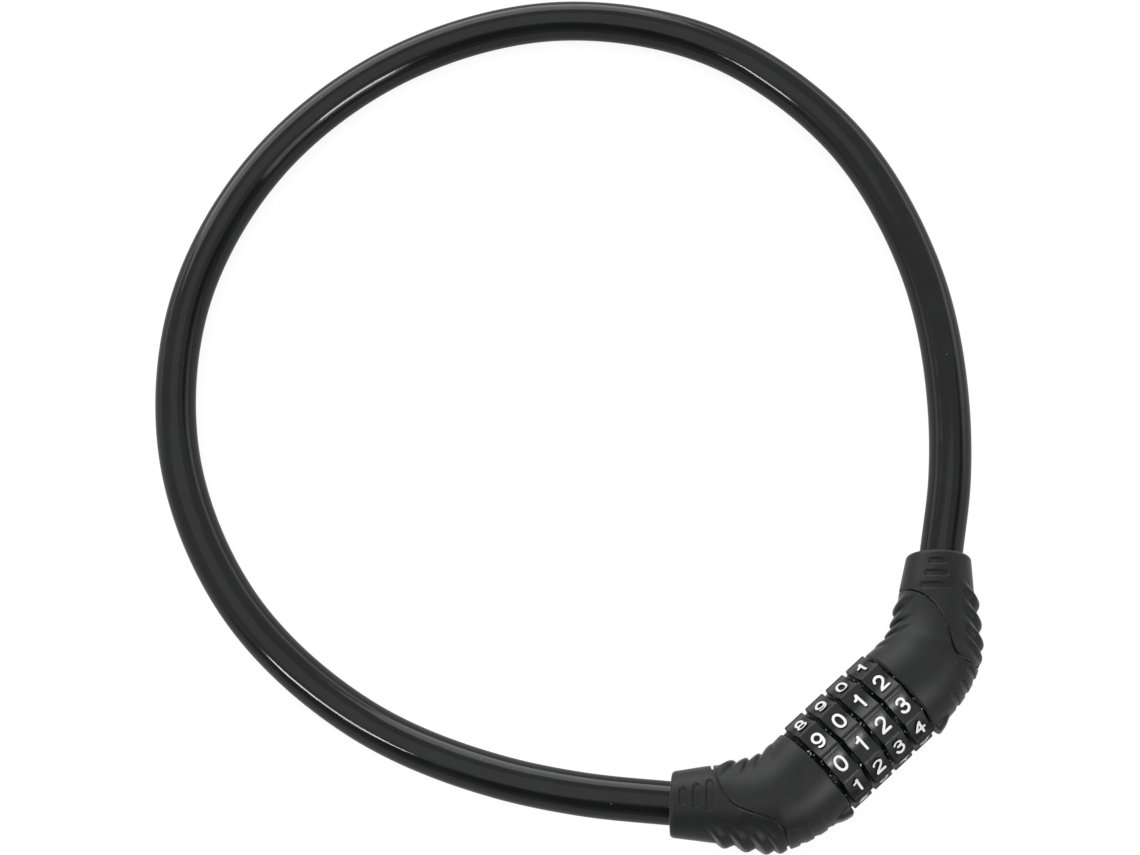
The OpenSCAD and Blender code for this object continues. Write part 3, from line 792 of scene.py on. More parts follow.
@dataclass
class Cable:
    """Plastic-jacketed steel rope from the lock body's collar round to the plug's, in millimetres."""

    jacket_radius: float = 6.0
    rope_radius: float = 4.0
    rope_fit: float = 0.06
    rope_grip: float = 7.0
    rope_lay: float = 55.0
    strands: int = 7
    strand_depth: float = 0.35
    sides_per_strand: int = 6
    bend_angle: float = math.radians(45)
    jacket_end: Triple = (46.628, 10.379, 14.8)
    mouth: Triple = (51.01, 14.76, 14.8)
    mouth_lock: Triple = (51.4, 14.3, 14.8)
    mouth_plug: Triple = (-50.8, 15.0, 14.8)
    route_middle: tuple[Triple, ...] = (
        (69.5, 29, 14.5), (86, 46, 13), (111, 83, 9), (124.5, 131, 6.5), (117, 179.5, 6.1),
        (87.5, 219.5, 6.1), (43, 242, 6.1), (-6.5, 244.5, 6.1), (-52.5, 226.5, 6.1),
        (-86.5, 190.5, 6.1), (-102.5, 143.5, 6.5), (-98.5, 94, 8), (-80.5, 53, 12.3), (-67, 33.5, 14.4))
    ring_step: float = 2.4
    sides: int = 40
    bore_sides: int = 24
    no_lay: float = 1e6
    sharp_deg: float = 50.0

    def leave(self, side: int) -> Array:
        """Direction of the cable away from a housing, for side 1 (lock body) or -1 (plug)."""
        return np.array([side * math.cos(self.bend_angle), math.sin(self.bend_angle), 0.0])

    def route(self) -> Array:
        """Round points of the route, from the lock body to the plug."""
        start = np.array(self.jacket_end)
        return np.array([start, self.mouth_lock, *self.route_middle, self.mouth_plug, start * (-1, 1, 1)])

    def centreline(self) -> Array:
        """Smooth curve through the route's points, with tangents weighted by the lengths beside them.

        Returns:
            Points in millimetres, about one ring step apart.
        """
        route = self.route()
        chords = np.linalg.norm(np.diff(route, axis=0), axis=1)
        slopes = np.diff(route, axis=0) / chords[:, None]
        tangents = np.empty_like(route)
        tangents[0], tangents[-1] = self.leave(1), -self.leave(-1)
        weights = chords[:, None]
        before, after = weights[:-1], weights[1:]
        tangents[1:-1] = (slopes[1:] * before + slopes[:-1] * after) / (before + after)
        points = []
        for i, h in enumerate(chords):
            count = max(2, round(h / self.ring_step))
            u = (np.arange(count) / count)[:, None]
            a, b, ta, tb = route[i], route[i + 1], tangents[i] * h, tangents[i + 1] * h
            points.append((2 * u**3 - 3 * u**2 + 1) * a + (u**3 - 2 * u**2 + u) * ta
                          + (3 * u**2 - 2 * u**3) * b + (u**3 - u**2) * tb)
        return np.vstack([*points, route[-1:]])

    def rope_line(self) -> Array:
        """Centreline of the rope, which reaches into both ferrules."""
        line = self.centreline()
        ends = [self.rope_grip * self.leave(side) for side in (1, -1)]
        return np.vstack([line[0] - ends[0], line, line[-1] - ends[1]])

    def sweep_tool(self) -> NodeTool:
        """Makes the node group that sweeps a lobed circle along a line.

        Returns:
            The group.
        """
        tool = NodeTool("sweep_along_route", {
            "Radius": "Float", "Sides": "Int", "Lobes": "Float", "Lobe depth": "Float", "Lay": "Float",
            "Inside": "Bool"})
        tree, given = tool.tree, tool.given
        curve = add_node(tree, "GeometryNodeMeshToCurve", {"Mesh": given["Mesh"]})
        length = add_node(tree, "GeometryNodeSplineParameter").outputs["Length"]
        turns = add_node(tree, "Math", (length, given["Lay"]), operation="DIVIDE")
        tilt = add_node(tree, "Math", (turns, 2 * math.pi), operation="MULTIPLY")
        curve = add_node(tree, "GeometryNodeSetCurveTilt", {"Curve": curve, "Tilt": tilt})
        ring = add_node(tree, "GeometryNodeCurvePrimitiveCircle", {
            "Resolution": given["Sides"], "Radius": 1.0})
        share = add_node(tree, "GeometryNodeSplineParameter").outputs["Factor"]
        angle = add_node(tree, "Math", (share, 2 * math.pi), operation="MULTIPLY")
        angle = add_node(tree, "Math", (angle, given["Lobes"]), operation="MULTIPLY")
        wave = add_node(tree, "Math", (angle,), operation="COSINE")
        wave = add_node(tree, "Math", (wave,), operation="ABSOLUTE")
        valley = add_node(tree, "Math", (1.0, wave), operation="SUBTRACT")
        valley = add_node(tree, "Math", (valley, given["Lobe depth"]), operation="MULTIPLY")
        radius = add_node(tree, "Math", (given["Radius"], valley), operation="SUBTRACT")
        spot = add_node(tree, "GeometryNodeInputPosition")
        wider = add_node(tree, "VectorMath", (spot, radius), operation="SCALE")
        ring = add_node(tree, "GeometryNodeSetPosition", {"Geometry": ring, "Position": wider})
        kept = []
        for way, form, value in zip(WAYS, (curve, ring), (length, share)):
            capture = add_node(tree, "GeometryNodeCaptureAttribute", {"Geometry": form}, domain="POINT")
            capture.capture_items.new("FLOAT", way)
            fill(tree, capture.inputs[way], value)
            kept.append(capture)
        tube = add_node(tree, "GeometryNodeCurveToMesh", {"Curve": kept[0], "Profile Curve": kept[1]})
        turned = add_node(tree, "GeometryNodeFlipFaces", {"Mesh": tube})
        tube = add_node(tree, "GeometryNodeSwitch", {
            "Switch": given["Inside"], "False": tube, "True": turned}, input_type="GEOMETRY")
        for way, capture in zip(WAYS, kept):
            tube = add_node(tree, "GeometryNodeStoreNamedAttribute", {
                "Geometry": tube, "Name": way, "Value": capture.outputs[way]},
                            data_type="FLOAT", domain="POINT")
        real = add_node(tree, "GeometryNodeRealizeInstances", {"Geometry": tube})
        smooth = add_node(tree, "GeometryNodeSetShadeSmooth", {"Geometry": real, "Shade Smooth": True})
        tool.end(smooth)
        return tool

    def tube_piece(self, name: str, line: Array, walls: Sequence[dict[str, Any]], tool: NodeTool,
                   material: Material) -> Object:
        """Sweeps the walls of a tube and closes its ends.

        Args:
            name: Name of the piece.
            line: Its centreline, in millimetres.
            walls: The sweep's values for the outer wall, and for the inner one if the tube is hollow.
            tool: The node group that sweeps.
            material: Material of the piece.

        Returns:
            The finished piece.
        """
        plain = {"Lobes": 0.0, "Lobe depth": 0.0, "Lay": self.no_lay, "Inside": False, "Finish": material}
        work = bmesh.new()
        for wall in walls:
            path = bpy.data.meshes.new("line")
            path.from_pydata((line * MM).tolist(), [(i, i + 1) for i in range(len(line) - 1)], [])
            work.from_mesh(tool.run(path, {**plain, **wall}))
        for end in (line[0], line[-1]):
            spot = Vector(end) * MM
            rim = [e for e in work.edges if e.is_boundary
                   and (e.verts[0].co - spot).length < 1.5 * self.jacket_radius * MM]
            if len(walls) > 1:
                bmesh.ops.bridge_loops(work, edges=rim)
            else:
                bmesh.ops.contextual_create(work, geom=rim)
        return finished_piece(name, ended_mesh(name, work), material, self.sharp_deg)

    def build(self, finishes: Finishes) -> list[Object]:
        """Builds the jacket and the rope inside it.

        Args:
            finishes: The lock's finishes.

        Returns:
            Both pieces.
        """
        tool = self.sweep_tool()
        line = self.centreline()
        outer = {"Radius": self.jacket_radius * MM, "Sides": self.sides}
        bore = self.rope_radius + self.rope_fit
        inner = {"Radius": bore * MM, "Sides": self.bore_sides, "Inside": True}
        strands = {"Radius": self.rope_radius * MM, "Sides": self.sides_per_strand * self.strands,
                   "Lobes": self.strands / 2, "Lobe depth": self.strand_depth * MM,
                   "Lay": self.rope_lay * MM}
        jacket = self.tube_piece("jacket", line, [outer, inner], tool, finishes.jacket)
        rope = self.tube_piece("steel_rope", self.rope_line(), [strands], tool, finishes.rope)
        for piece, node, slot in ((jacket, "cable_jacket", Slot.JACKET), (rope, "cable_rope", Slot.STEEL)):
            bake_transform(piece)
            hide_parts(node)
        return [jacket, rope]


# Housings


@dataclass
class HousingForm:
    """Bent two-piece moulding of the lock body, in its own frame: X outwards from the dials, +Y inwards.

    Lengths are in millimetres. A fade holds the angles, in degrees, up to which a form is whole and from
    which it is gone. Crowding holds angles with finer forms, their spread and how much closer points are
    there. Ends hold the shares of a moulding's length that get rings of their own, near either edge.
    """

    elbow_radius: float = 13.9
    mouth_radius: float = 8.95
    bend_radius: float = 28.0
    bend_angle: float = math.radians(45)
    face_x: float = 16.05
    lead_in: float = 3.0
    lead_out: float = 17.2
    seam_width: float = 0.78
    seam_depth: float = 1.0
    lip_gap: float = 0.1
    bore: float = 8.3
    ferrule_bore: float = 7.4
    mouth_bore: float = 6.9
    ferrule_start: float = 24.5
    jacket_start: float = 33.09
    groove_depth: float = 0.5
    groove_radius: float = 0.85
    groove_run: float = 2.4
    groove_places: tuple[float, ...] = (4.0, 6.9, 9.75)
    groove_end: float = math.radians(34)
    outer_shift: float = 0.5
    step_shift: float = 0.45
    step_height: float = 1.0
    fin_reach: float = 14.75
    fin_half: float = 5.2
    fin_power: float = 4.5
    fin_blend: float = 0.35
    fin_edge: float = 0.35
    face_edge: float = 0.45
    seam_edge: float = 0.12
    mouth_edge: float = 1.2
    slot_width: float = 1.9
    slot_depth: float = 0.5
    slot_wall: float = 0.34
    slots: tuple[Triple, ...] = ((3.4, 5.0, 1.0), (7.0, 6.8, 1.2), (10.6, 8.6, 1.5))
    groove_wall: float = 0.3
    slot_rim: float = 0.1
    slot_face: float = 0.5
    fin_face: float = 0.3
    mouth_chamfer: float = 0.3
    mouth_flatness: float = 0.75
    rib_fade: Pair = (24, 56)
    edge_fade: Pair = (12, 26)
    step_fade: Pair = (30, 57)
    deep_fade: Pair = (38, 68)
    deep_middle: float = math.radians(92)
    sharp_deg: float = 48.0
    sides: int = 280
    elbow_rings: int = 190
    collar_rings: int = 250
    bore_rings: int = 26
    core_rings: int = 12
    elbow_crowding: tuple[Triple, ...] = ((0, 22, 1.2), (34, 9, 1.2), (180, 50, 0.4))
    collar_crowding: tuple[Triple, ...] = ((25, 26, 1.3), (98, 20, 1.8))
    elbow_ends: tuple[tuple[float, ...], ...] = (
        (0.001, 0.003, 0.006, 0.01, 0.015, 0.02), (0.0015, 0.004, 0.008))
    collar_ends: tuple[tuple[float, ...], ...] = (
        (0.0015, 0.004, 0.008), (0.0008, 0.003, 0.007, 0.012, 0.02, 0.03))

    def __post_init__(self) -> None:
        """Works out the profiles that run along the housing."""
        self.arc = self.bend_radius * self.bend_angle
        self.bend_x = self.face_x + self.lead_in
        self.face_s = -self.lead_in
        self.mouth_s = self.arc + self.lead_out
        radius, mouth, face, reach = self.elbow_radius, self.mouth_radius, self.face_x, self.fin_reach
        self.outer = Profile([
            (self.face_s, radius), (12, radius - 0.1), (14.6, radius - 1.5), (18, radius - 2.7),
            (self.arc, radius - 3.8), (self.arc + 5, mouth + 1), (self.mouth_s, mouth)], 0.8)
        self.inner = Profile([
            (self.face_s, radius), (1, radius - 0.2), (8, radius - 1.3), (15, radius - 1.9),
            (self.arc, radius - 2.4), (self.arc + 7, mouth + 2), (self.mouth_s, mouth)], 1.2)
        self.inner_ribs = Profile([
            (0.4, 0), (1.7, 0.33), (3.1, 0.58), (4.5, 0.66), (5.8, 0.62), (7, 0.45), (8.3, 0.12), (8.8, 0.5),
            (9.4, 0.9), (10.2, 1.02), (11.8, 0.96), (13.3, 0.75), (14.5, 0.38), (15, 0.2), (15.4, 0.8),
            (16, 1.2), (16.8, 1.32), (18.3, 1.24), (19.8, 0.95), (21, 0.58), (21.6, 0.38), (22, 0.95),
            (22.6, 1.24), (23.2, 1.27), (24, 1.05), (25, 0.5), (25.8, 0.15), (26.6, 0)], 0.13)
        self.steps = Profile([
            (37.2, 0.1), (38.4, 0.9), (38.8, 1), (39.2, 0.6), (39.4, 0), (40.8, 1.3), (41.2, 1.5),
            (41.6, 1.42), (43, 0), (44.3, 1.25), (44.8, 1.48), (45.2, 1.4), (46.55, 0), (47.9, 1.1),
            (48.4, 1.3), (48.8, 1.22), (49.9, 0), (52, 0)], 0.07)
        self.fin = Profile([
            (face - 1, reach + 0.6), (face + 0.6, reach + 0.6), (face + 3, reach + 0.1),
            (face + 5.2, radius - 0.05), (face + 6.8, radius - 1.5), (face + 8.5, 8)], 0.5)
        self.seams = {
            Side.LOCK: Profile([
                (0, 12.2), (18, 11.9), (34, 11.6), (50, 11.25), (57, 11.3), (62, 11.7), (66, 12.4),
                (72, 14.3), (76, 16), (80, 17.8), (85, 19.6), (90, 21.2), (95, 22.6), (101, 23.8),
                (110, 25.1), (118, 26.1), (129, 27.2), (145, 28.1), (160, 28.6), (180, 28.8)], 1.6),
            Side.PLUG: Profile([
                (0, 11.5), (36, 11.5), (44, 11.6), (51, 12), (57, 12.8), (62, 13.8), (66, 15.1),
                (70, 16.7), (75, 18.6), (80, 20.3), (87, 22.1), (94, 23.5), (104, 25), (115, 26.1),
                (128, 27), (143, 27.8), (160, 28.2), (180, 28.4)], 1.6)}

    def angles(self, crowded: Sequence[Triple]) -> Array:
        """Spreads the skin's points round the housing.

        Args:
            crowded: Angles with finer forms, in degrees, their spread and how much closer points are.

        Returns:
            Angles from the outer side of the bend.
        """
        t = np.linspace(-math.pi, math.pi, 4001)
        density = 1 + sum(share * np.exp(-((np.degrees(np.abs(t)) - middle) / spread) ** 2)
                          for middle, spread, share in crowded)
        filled = np.concatenate([[0], np.cumsum((density[1:] + density[:-1]) / 2)])
        return np.interp(np.arange(self.sides) / self.sides, filled / filled[-1], t)

    def bend(self, s: Array | float) -> Array:
        """Angle of the centreline at s, in radians."""
        return np.clip(s, 0, self.arc) / self.bend_radius

    def point(self, s: Array, t: Array, r: Array) -> Array:
        """Point of the skin.

        Args:
            s: Place along the centreline, 0 where the bend starts.
            t: Angle round it, from the outer side of the bend.
            r: Distance from it.

        Returns:
            Points in the axis frame.
        """
        a = self.bend(s)
        extra = np.where(s < 0, s, np.maximum(0, s - self.arc))
        x = self.bend_x + self.bend_radius * np.sin(a) + extra * np.cos(a) + r * np.cos(t) * np.sin(a)
        y = self.bend_radius * (1 - np.cos(a)) + extra * np.sin(a) - r * np.cos(t) * np.cos(a)
        return np.stack([x, y, r * np.sin(t)], axis=-1)

    def along_lock(self, s: Array | float, t: Array | float, r: Array | float) -> Array:
        """Place along the lock axis of a point of the skin."""
        return self.point(np.asarray(s, float), np.asarray(t, float), np.asarray(r, float))[..., 0]

    def seam(self, t: Array, side: Side) -> Array:
        """Place of the parting line between elbow and collar at an angle."""
        return self.seams[side](np.degrees(np.abs(t)))

    def half_gap(self, t: Array, side: Side) -> Array:
        """Half of the parting line's width along the centreline, so that it is even across the line."""
        slope = np.gradient(self.seam(t, side), t) / self.elbow_radius
        return self.seam_width / 2 * np.hypot(1, slope)

    def plain(self, s: Array | float, t: Array | float) -> Array:
        """Radius of the smooth skin."""
        k = (1 + np.cos(t)) / 2
        return k * self.outer(s) + (1 - k) * self.inner(s)

    @staticmethod
    def fade(t: Array, full: float, gone: float) -> Array:
        """1 up to one angle and 0 from another, both in degrees."""
        return 1 - smooth_step((np.degrees(t) - full) / (gone - full))

    @staticmethod
    def rounding(distance: Array, edge: float) -> Array:
        """How far a rounded edge lies under the skin, at a distance from its end."""
        u = np.clip(1 - distance / edge, 0, 1)
        return edge * (1 - np.sqrt(np.maximum(0, 1 - u * u)))

    def slant(self, s: Array, t: Array) -> Array:
        """How far the inner ribs, which run along the lock axis, have shifted along the centreline."""
        return self.plain(s, t) * (1 + np.cos(t)) / np.maximum(np.tan(self.bend(s)), 0.5)

    def elbow_radius_at(self, s: Array, t: Array, side: Side) -> Array:
        """Works out the elbow's skin, with its grooves, its ribs and its fin.

        Args:
            s: Place along the centreline.
            t: Angle round it.
            side: Housing that it belongs to.

        Returns:
            The skin's radius.
        """
        fold = np.abs(t)
        plain = self.plain(s, t)
        x = self.along_lock(s, t, plain)
        skin = plain + self.inner_ribs(s - self.slant(s, t)) * self.fade(math.pi - fold, *self.rib_fade)
        past = np.maximum(0, plain * (fold - self.groove_end))
        for place in self.groove_places:
            place += self.outer_shift * side.value
            wall = float(self.along_lock(place, 0.0, self.plain(place, 0.0)))
            away = np.hypot(x - wall + self.groove_radius, past)
            inside = smooth_step((self.groove_radius - away) / self.groove_wall + 0.5)
            skin = skin - self.groove_depth * inside * np.clip((x - wall) / self.groove_run + 1, 0, 1)
        reach = np.maximum(self.fin(x) + self.bend_radius * (1 - np.cos(self.bend(s))), 1)
        out, across = np.maximum(np.cos(t), 0) / reach, np.abs(np.sin(t)) / self.fin_half
        over = (out**self.fin_power + across**self.fin_power + 1e-9) ** (-1 / self.fin_power)
        over = np.where(np.cos(t) > self.fin_face, over, 0)
        h = np.clip(0.5 + 0.5 * (over - skin) / self.fin_blend, 0, 1)
        return skin * (1 - h) + over * h + self.fin_blend * h * (1 - h)

    def collar_radius_at(self, s: Array, t: Array, side: Side) -> Array:
        """Works out the collar's skin, with its steps and its grip slots.

        Args:
            s: Place along the centreline.
            t: Angle round it.
            side: Housing that it belongs to.

        Returns:
            The skin's radius.
        """
        fold = np.abs(t)
        plain = self.plain(s, t)
        x = self.along_lock(s, t, plain) + self.step_shift * (1 - side.value)
        skin = plain + self.step_height * self.steps(x) * self.fade(fold, *self.step_fade)
        across = -plain * np.cos(t)
        for distance, length, inset in self.slots:
            half = (length - self.slot_width) / 2
            gap = np.hypot(s - (self.mouth_s - distance), np.maximum(0, np.abs(across - inset) - half))
            inside = smooth_step((self.slot_width / 2 + self.slot_rim - gap) / self.slot_wall)
            skin = skin - self.slot_depth * inside * (np.abs(np.sin(t)) > self.slot_face)
        return skin

    @staticmethod
    def ring_shares(count: int, ends: Sequence[Sequence[float]]) -> Array:
        """Shares from 0 to 1, with extra ones near both ends."""
        return np.unique(np.concatenate([np.linspace(0, 1, count), ends[0], 1 - np.array(ends[1])]))

    def shell(self, name: str, rings: Sequence[Array], side: Side, material: Material) -> Object:
        """Makes a shell that closes on itself both ways from its rings, in the shared frame.

        Args:
            name: Name of the piece.
            rings: Rings of points, out along the skin and back through the bore.
            side: Housing that it belongs to.
            material: Its material.

        Returns:
            The piece.
        """
        n = self.sides
        j, i = np.divmod(np.arange(len(rings) * n), n)
        k, m = (j + 1) % len(rings), (i + 1) % n
        faces = np.stack([j * n + i, j * n + m, k * n + m, k * n + i], axis=-1)
        points = np.vstack(rings) * (side.value, 1, 1) + (0, AXIS_Y, AXIS_Z)
        faces = faces[:, ::-1] if side is Side.LOCK else faces
        return mesh_piece(name, points, faces, material, self.sharp_deg)

    def elbow(self, side: Side) -> list[Array]:
        """Lays the rings of the elbow, between the dials and the parting line.

        Args:
            side: Housing that it belongs to.

        Returns:
            Its rings.
        """
        t = self.angles(self.elbow_crowding)
        end = self.seam(t, side) - self.half_gap(t, side)
        run = end - self.face_s
        edge = self.face_edge + self.fin_edge * self.fade(np.abs(t), *self.edge_fade)
        rings = []
        for share in self.ring_shares(self.elbow_rings, self.elbow_ends):
            s = self.face_s + share * run
            rounded = self.rounding(s - self.face_s, edge)
            r = self.elbow_radius_at(s, t, side) - rounded - self.rounding(end - s, self.seam_edge)
            rings.append(self.point(s, t, r))
        for share in np.linspace(1, 0, self.bore_rings):
            rings.append(self.point(self.face_s + share * run, t, np.full_like(t, self.bore)))
        return rings

    def collar(self, side: Side) -> list[Array]:
        """Lays the rings of the collar, between the parting line and the cable's mouth.

        Args:
            side: Housing that it belongs to.

        Returns:
            Its rings.
        """
        t = self.angles(self.collar_crowding)
        start = self.seam(t, side) + self.half_gap(t, side)
        run = self.mouth_s - start
        rings = []
        for share in self.ring_shares(self.collar_rings, self.collar_ends):
            s = start + share * run
            rounded = self.rounding(s - start, self.seam_edge)
            mouth = self.mouth_flatness * self.rounding(self.mouth_s - s, self.mouth_edge)
            rings.append(self.point(s, t, self.collar_radius_at(s, t, side) - rounded - mouth))
        end, bore, chamfer = self.mouth_s, self.mouth_bore, self.mouth_chamfer
        for s, r in ((end, bore + chamfer), (end - chamfer, bore), (self.jacket_start, bore),
                     (self.jacket_start, self.ferrule_bore), (self.ferrule_start, self.ferrule_bore)):
            rings.append(self.point(np.maximum(np.full_like(t, s), start), t, np.full_like(t, r)))
        for share in np.linspace(1, 0, self.core_rings):
            along = start + share * np.maximum(0, self.ferrule_start - start)
            rings.append(self.point(along, t, np.full_like(t, self.bore)))
        reach = start - 2 * self.half_gap(t, side) + self.lip_gap
        deep = 1 + self.fade(np.abs(np.abs(t) - self.deep_middle), *self.deep_fade)
        floor = self.collar_radius_at(start, t, side) - self.seam_depth * deep
        for s, r in ((reach, np.full_like(t, self.bore)), (reach, floor), (start, floor)):
            rings.append(self.point(s, t, r))
        return rings

    def build(self, finishes: Finishes) -> list[Object]:
        """Builds both housings.

        Args:
            finishes: The lock's finishes.

        Returns:
            Their four mouldings.
        """
        pieces = []
        for side, body in ((Side.LOCK, "lock"), (Side.PLUG, "plug")):
            for part, rings in (("elbow", self.elbow(side)), ("collar", self.collar(side))):
                piece = self.shell(f"{body}_{part}_moulding", rings, side, finishes.shell)
                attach(piece, body)
                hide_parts(f"{body}_{part}")
                log.info("%s: %d faces", piece.name, len(piece.data.polygons))
                pieces.append(piece)
        return pieces


# Dials


@dataclass
class Digit:
    """Strokes of a sans-serif digit, about 3.3 mm wide and 4.7 mm tall over its ink."""

    half_width: float = 1.28
    half_height: float = 1.98
    stroke: float = 0.74
    cell: float = 0.1
    grid_x: float = 2.4
    grid_y: float = 3.0
    arc_steps: int = 28
    merge_gap: float = 0.002

    def arc(self, centre: Pair, radii: Pair, start: float, end: float,
            power: float = 1.0) -> list[Pair]:
        """Draws an elliptic arc.

        Args:
            centre: Its middle.
            radii: Its radii across and up.
            start: First angle, in degrees.
            end: Last angle, in degrees.
            power: A power under 1 squares its corners.

        Returns:
            Points along it.
        """
        points = []
        for a in np.radians(np.linspace(start, end, self.arc_steps)):
            c, s = math.cos(a), math.sin(a)
            points.append((centre[0] + radii[0] * math.copysign(abs(c) ** power, c),
                           centre[1] + radii[1] * math.copysign(abs(s) ** power, s)))
        return points

    def strokes(self, digit: int) -> list[list[Pair]]:
        """Centrelines of a digit's strokes, with y upwards.

        Args:
            digit: The digit.

        Returns:
            One or more lines.
        """
        w, h = self.half_width, self.half_height
        if digit == 0:
            return [self.arc((0, 0), (w, h), 0, 360, 0.88)]
        if digit == 1:
            return [[(0.42, -h), (0.42, h)], self.arc((-0.85, h + 0.2), (1.15, 1.15), -5, -88)]
        if digit == 2:
            top = self.arc((0, 0.82), (w - 0.05, h - 0.82), 172, -28)
            return [[*top, (0.62, -0.32), (-0.55, -1.22), (-w + 0.02, -h), (w + 0.05, -h)]]
        if digit == 3:
            upper = self.arc((-0.02, 0.98), (1.08, h - 0.98), 160, -90)
            lower = self.arc((-0.02, -0.88), (w - 0.03, h - 0.88), 90, -165)
            return [upper + [(-0.3, 0.05)], [(-0.3, 0.09)] + lower]
        if digit == 4:
            return [[(0.5, -h - 0.1), (0.5, h), (-w - 0.05, -0.78), (w + 0.12, -0.78)]]
        if digit == 5:
            bowl = self.arc((-0.05, -0.7), (w, h - 0.7), 128, -158)
            return [[(1.1, h), (-0.85, h), (-1.05, 0.15)] + bowl]
        if digit == 6:
            bowl = self.arc((0, -0.72), (w, h - 0.72), 0, 360)
            return [bowl, self.arc((0.3, -0.2), (w + 0.3, h + 0.2), 58, 185)]
        if digit == 7:
            return [[(-w, h), (w, h), (0.5, 0.8), (0.0, -0.5), (-0.3, -h)]]
        if digit == 8:
            upper = self.arc((0, 1.02), (1.08, h - 1.02), 0, 360)
            return [upper, self.arc((0, -0.9), (w, h - 0.9), 0, 360)]
        bowl = self.arc((0, 0.72), (w, h - 0.72), 0, 360)
        return [bowl, self.arc((-0.3, 0.2), (w + 0.3, h + 0.2), -122, 5)]

    def ink(self, digit: int) -> tuple[Array, Array, Array]:
        """Signed distance to a digit's outline on a grid, negative in the ink.

        Args:
            digit: The digit.

        Returns:
            Grid places across and up, and the distances.
        """
        xs = np.arange(-self.grid_x, self.grid_x + self.cell, self.cell)
        ys = np.arange(-self.grid_y, self.grid_y + self.cell, self.cell)
        gx, gy = np.meshgrid(xs, ys, indexing="ij")
        best = np.full(gx.shape, np.inf)
        for line in self.strokes(digit):
            for (ax, ay), (bx, by) in zip(line, line[1:]):
                dx, dy = bx - ax, by - ay
                u = np.clip(((gx - ax) * dx + (gy - ay) * dy) / max(dx * dx + dy * dy, 1e-12), 0, 1)
                best = np.minimum(best, np.hypot(gx - ax - u * dx, gy - ay - u * dy))
        return xs, ys, best - self.stroke / 2

    def outline(self, digit: int) -> list[Array]:
        """Closed outlines of a digit's ink.

        Args:
            digit: The digit.

        Returns:
            Loops of points, in millimetres.
        """
        xs, ys, ink = self.ink(digit)
        spots, links = {}, {}
        for i in range(len(xs) - 1):
            for j in range(len(ys) - 1):
                corners = [(i, j), (i + 1, j), (i + 1, j + 1), (i, j + 1)]
                cuts = []
                for edge in zip(corners, corners[1:] + corners[:1]):
                    (a, b), (c, d) = edge = tuple(sorted(edge))
                    if (ink[a, b] < 0) != (ink[c, d] < 0):
                        u = ink[a, b] / (ink[a, b] - ink[c, d])
                        spots[edge] = (xs[a] + u * (xs[c] - xs[a]), ys[b] + u * (ys[d] - ys[b]))
                        cuts.append(edge)
                for first, second in zip(cuts[::2], cuts[1::2]):
                    links.setdefault(first, []).append(second)
                    links.setdefault(second, []).append(first)
        loops = []
        while links:
            start = next(iter(links))
            loop, here, before = [], start, None
            while here in links:
                ways = links.pop(here)
                loop.append(spots[here])
                onward = [w for w in ways if w != before and w in links]
                before = here
                here = onward[0] if onward else start
                if here == start:
                    break
            loops.append(np.array(loop))
        return loops


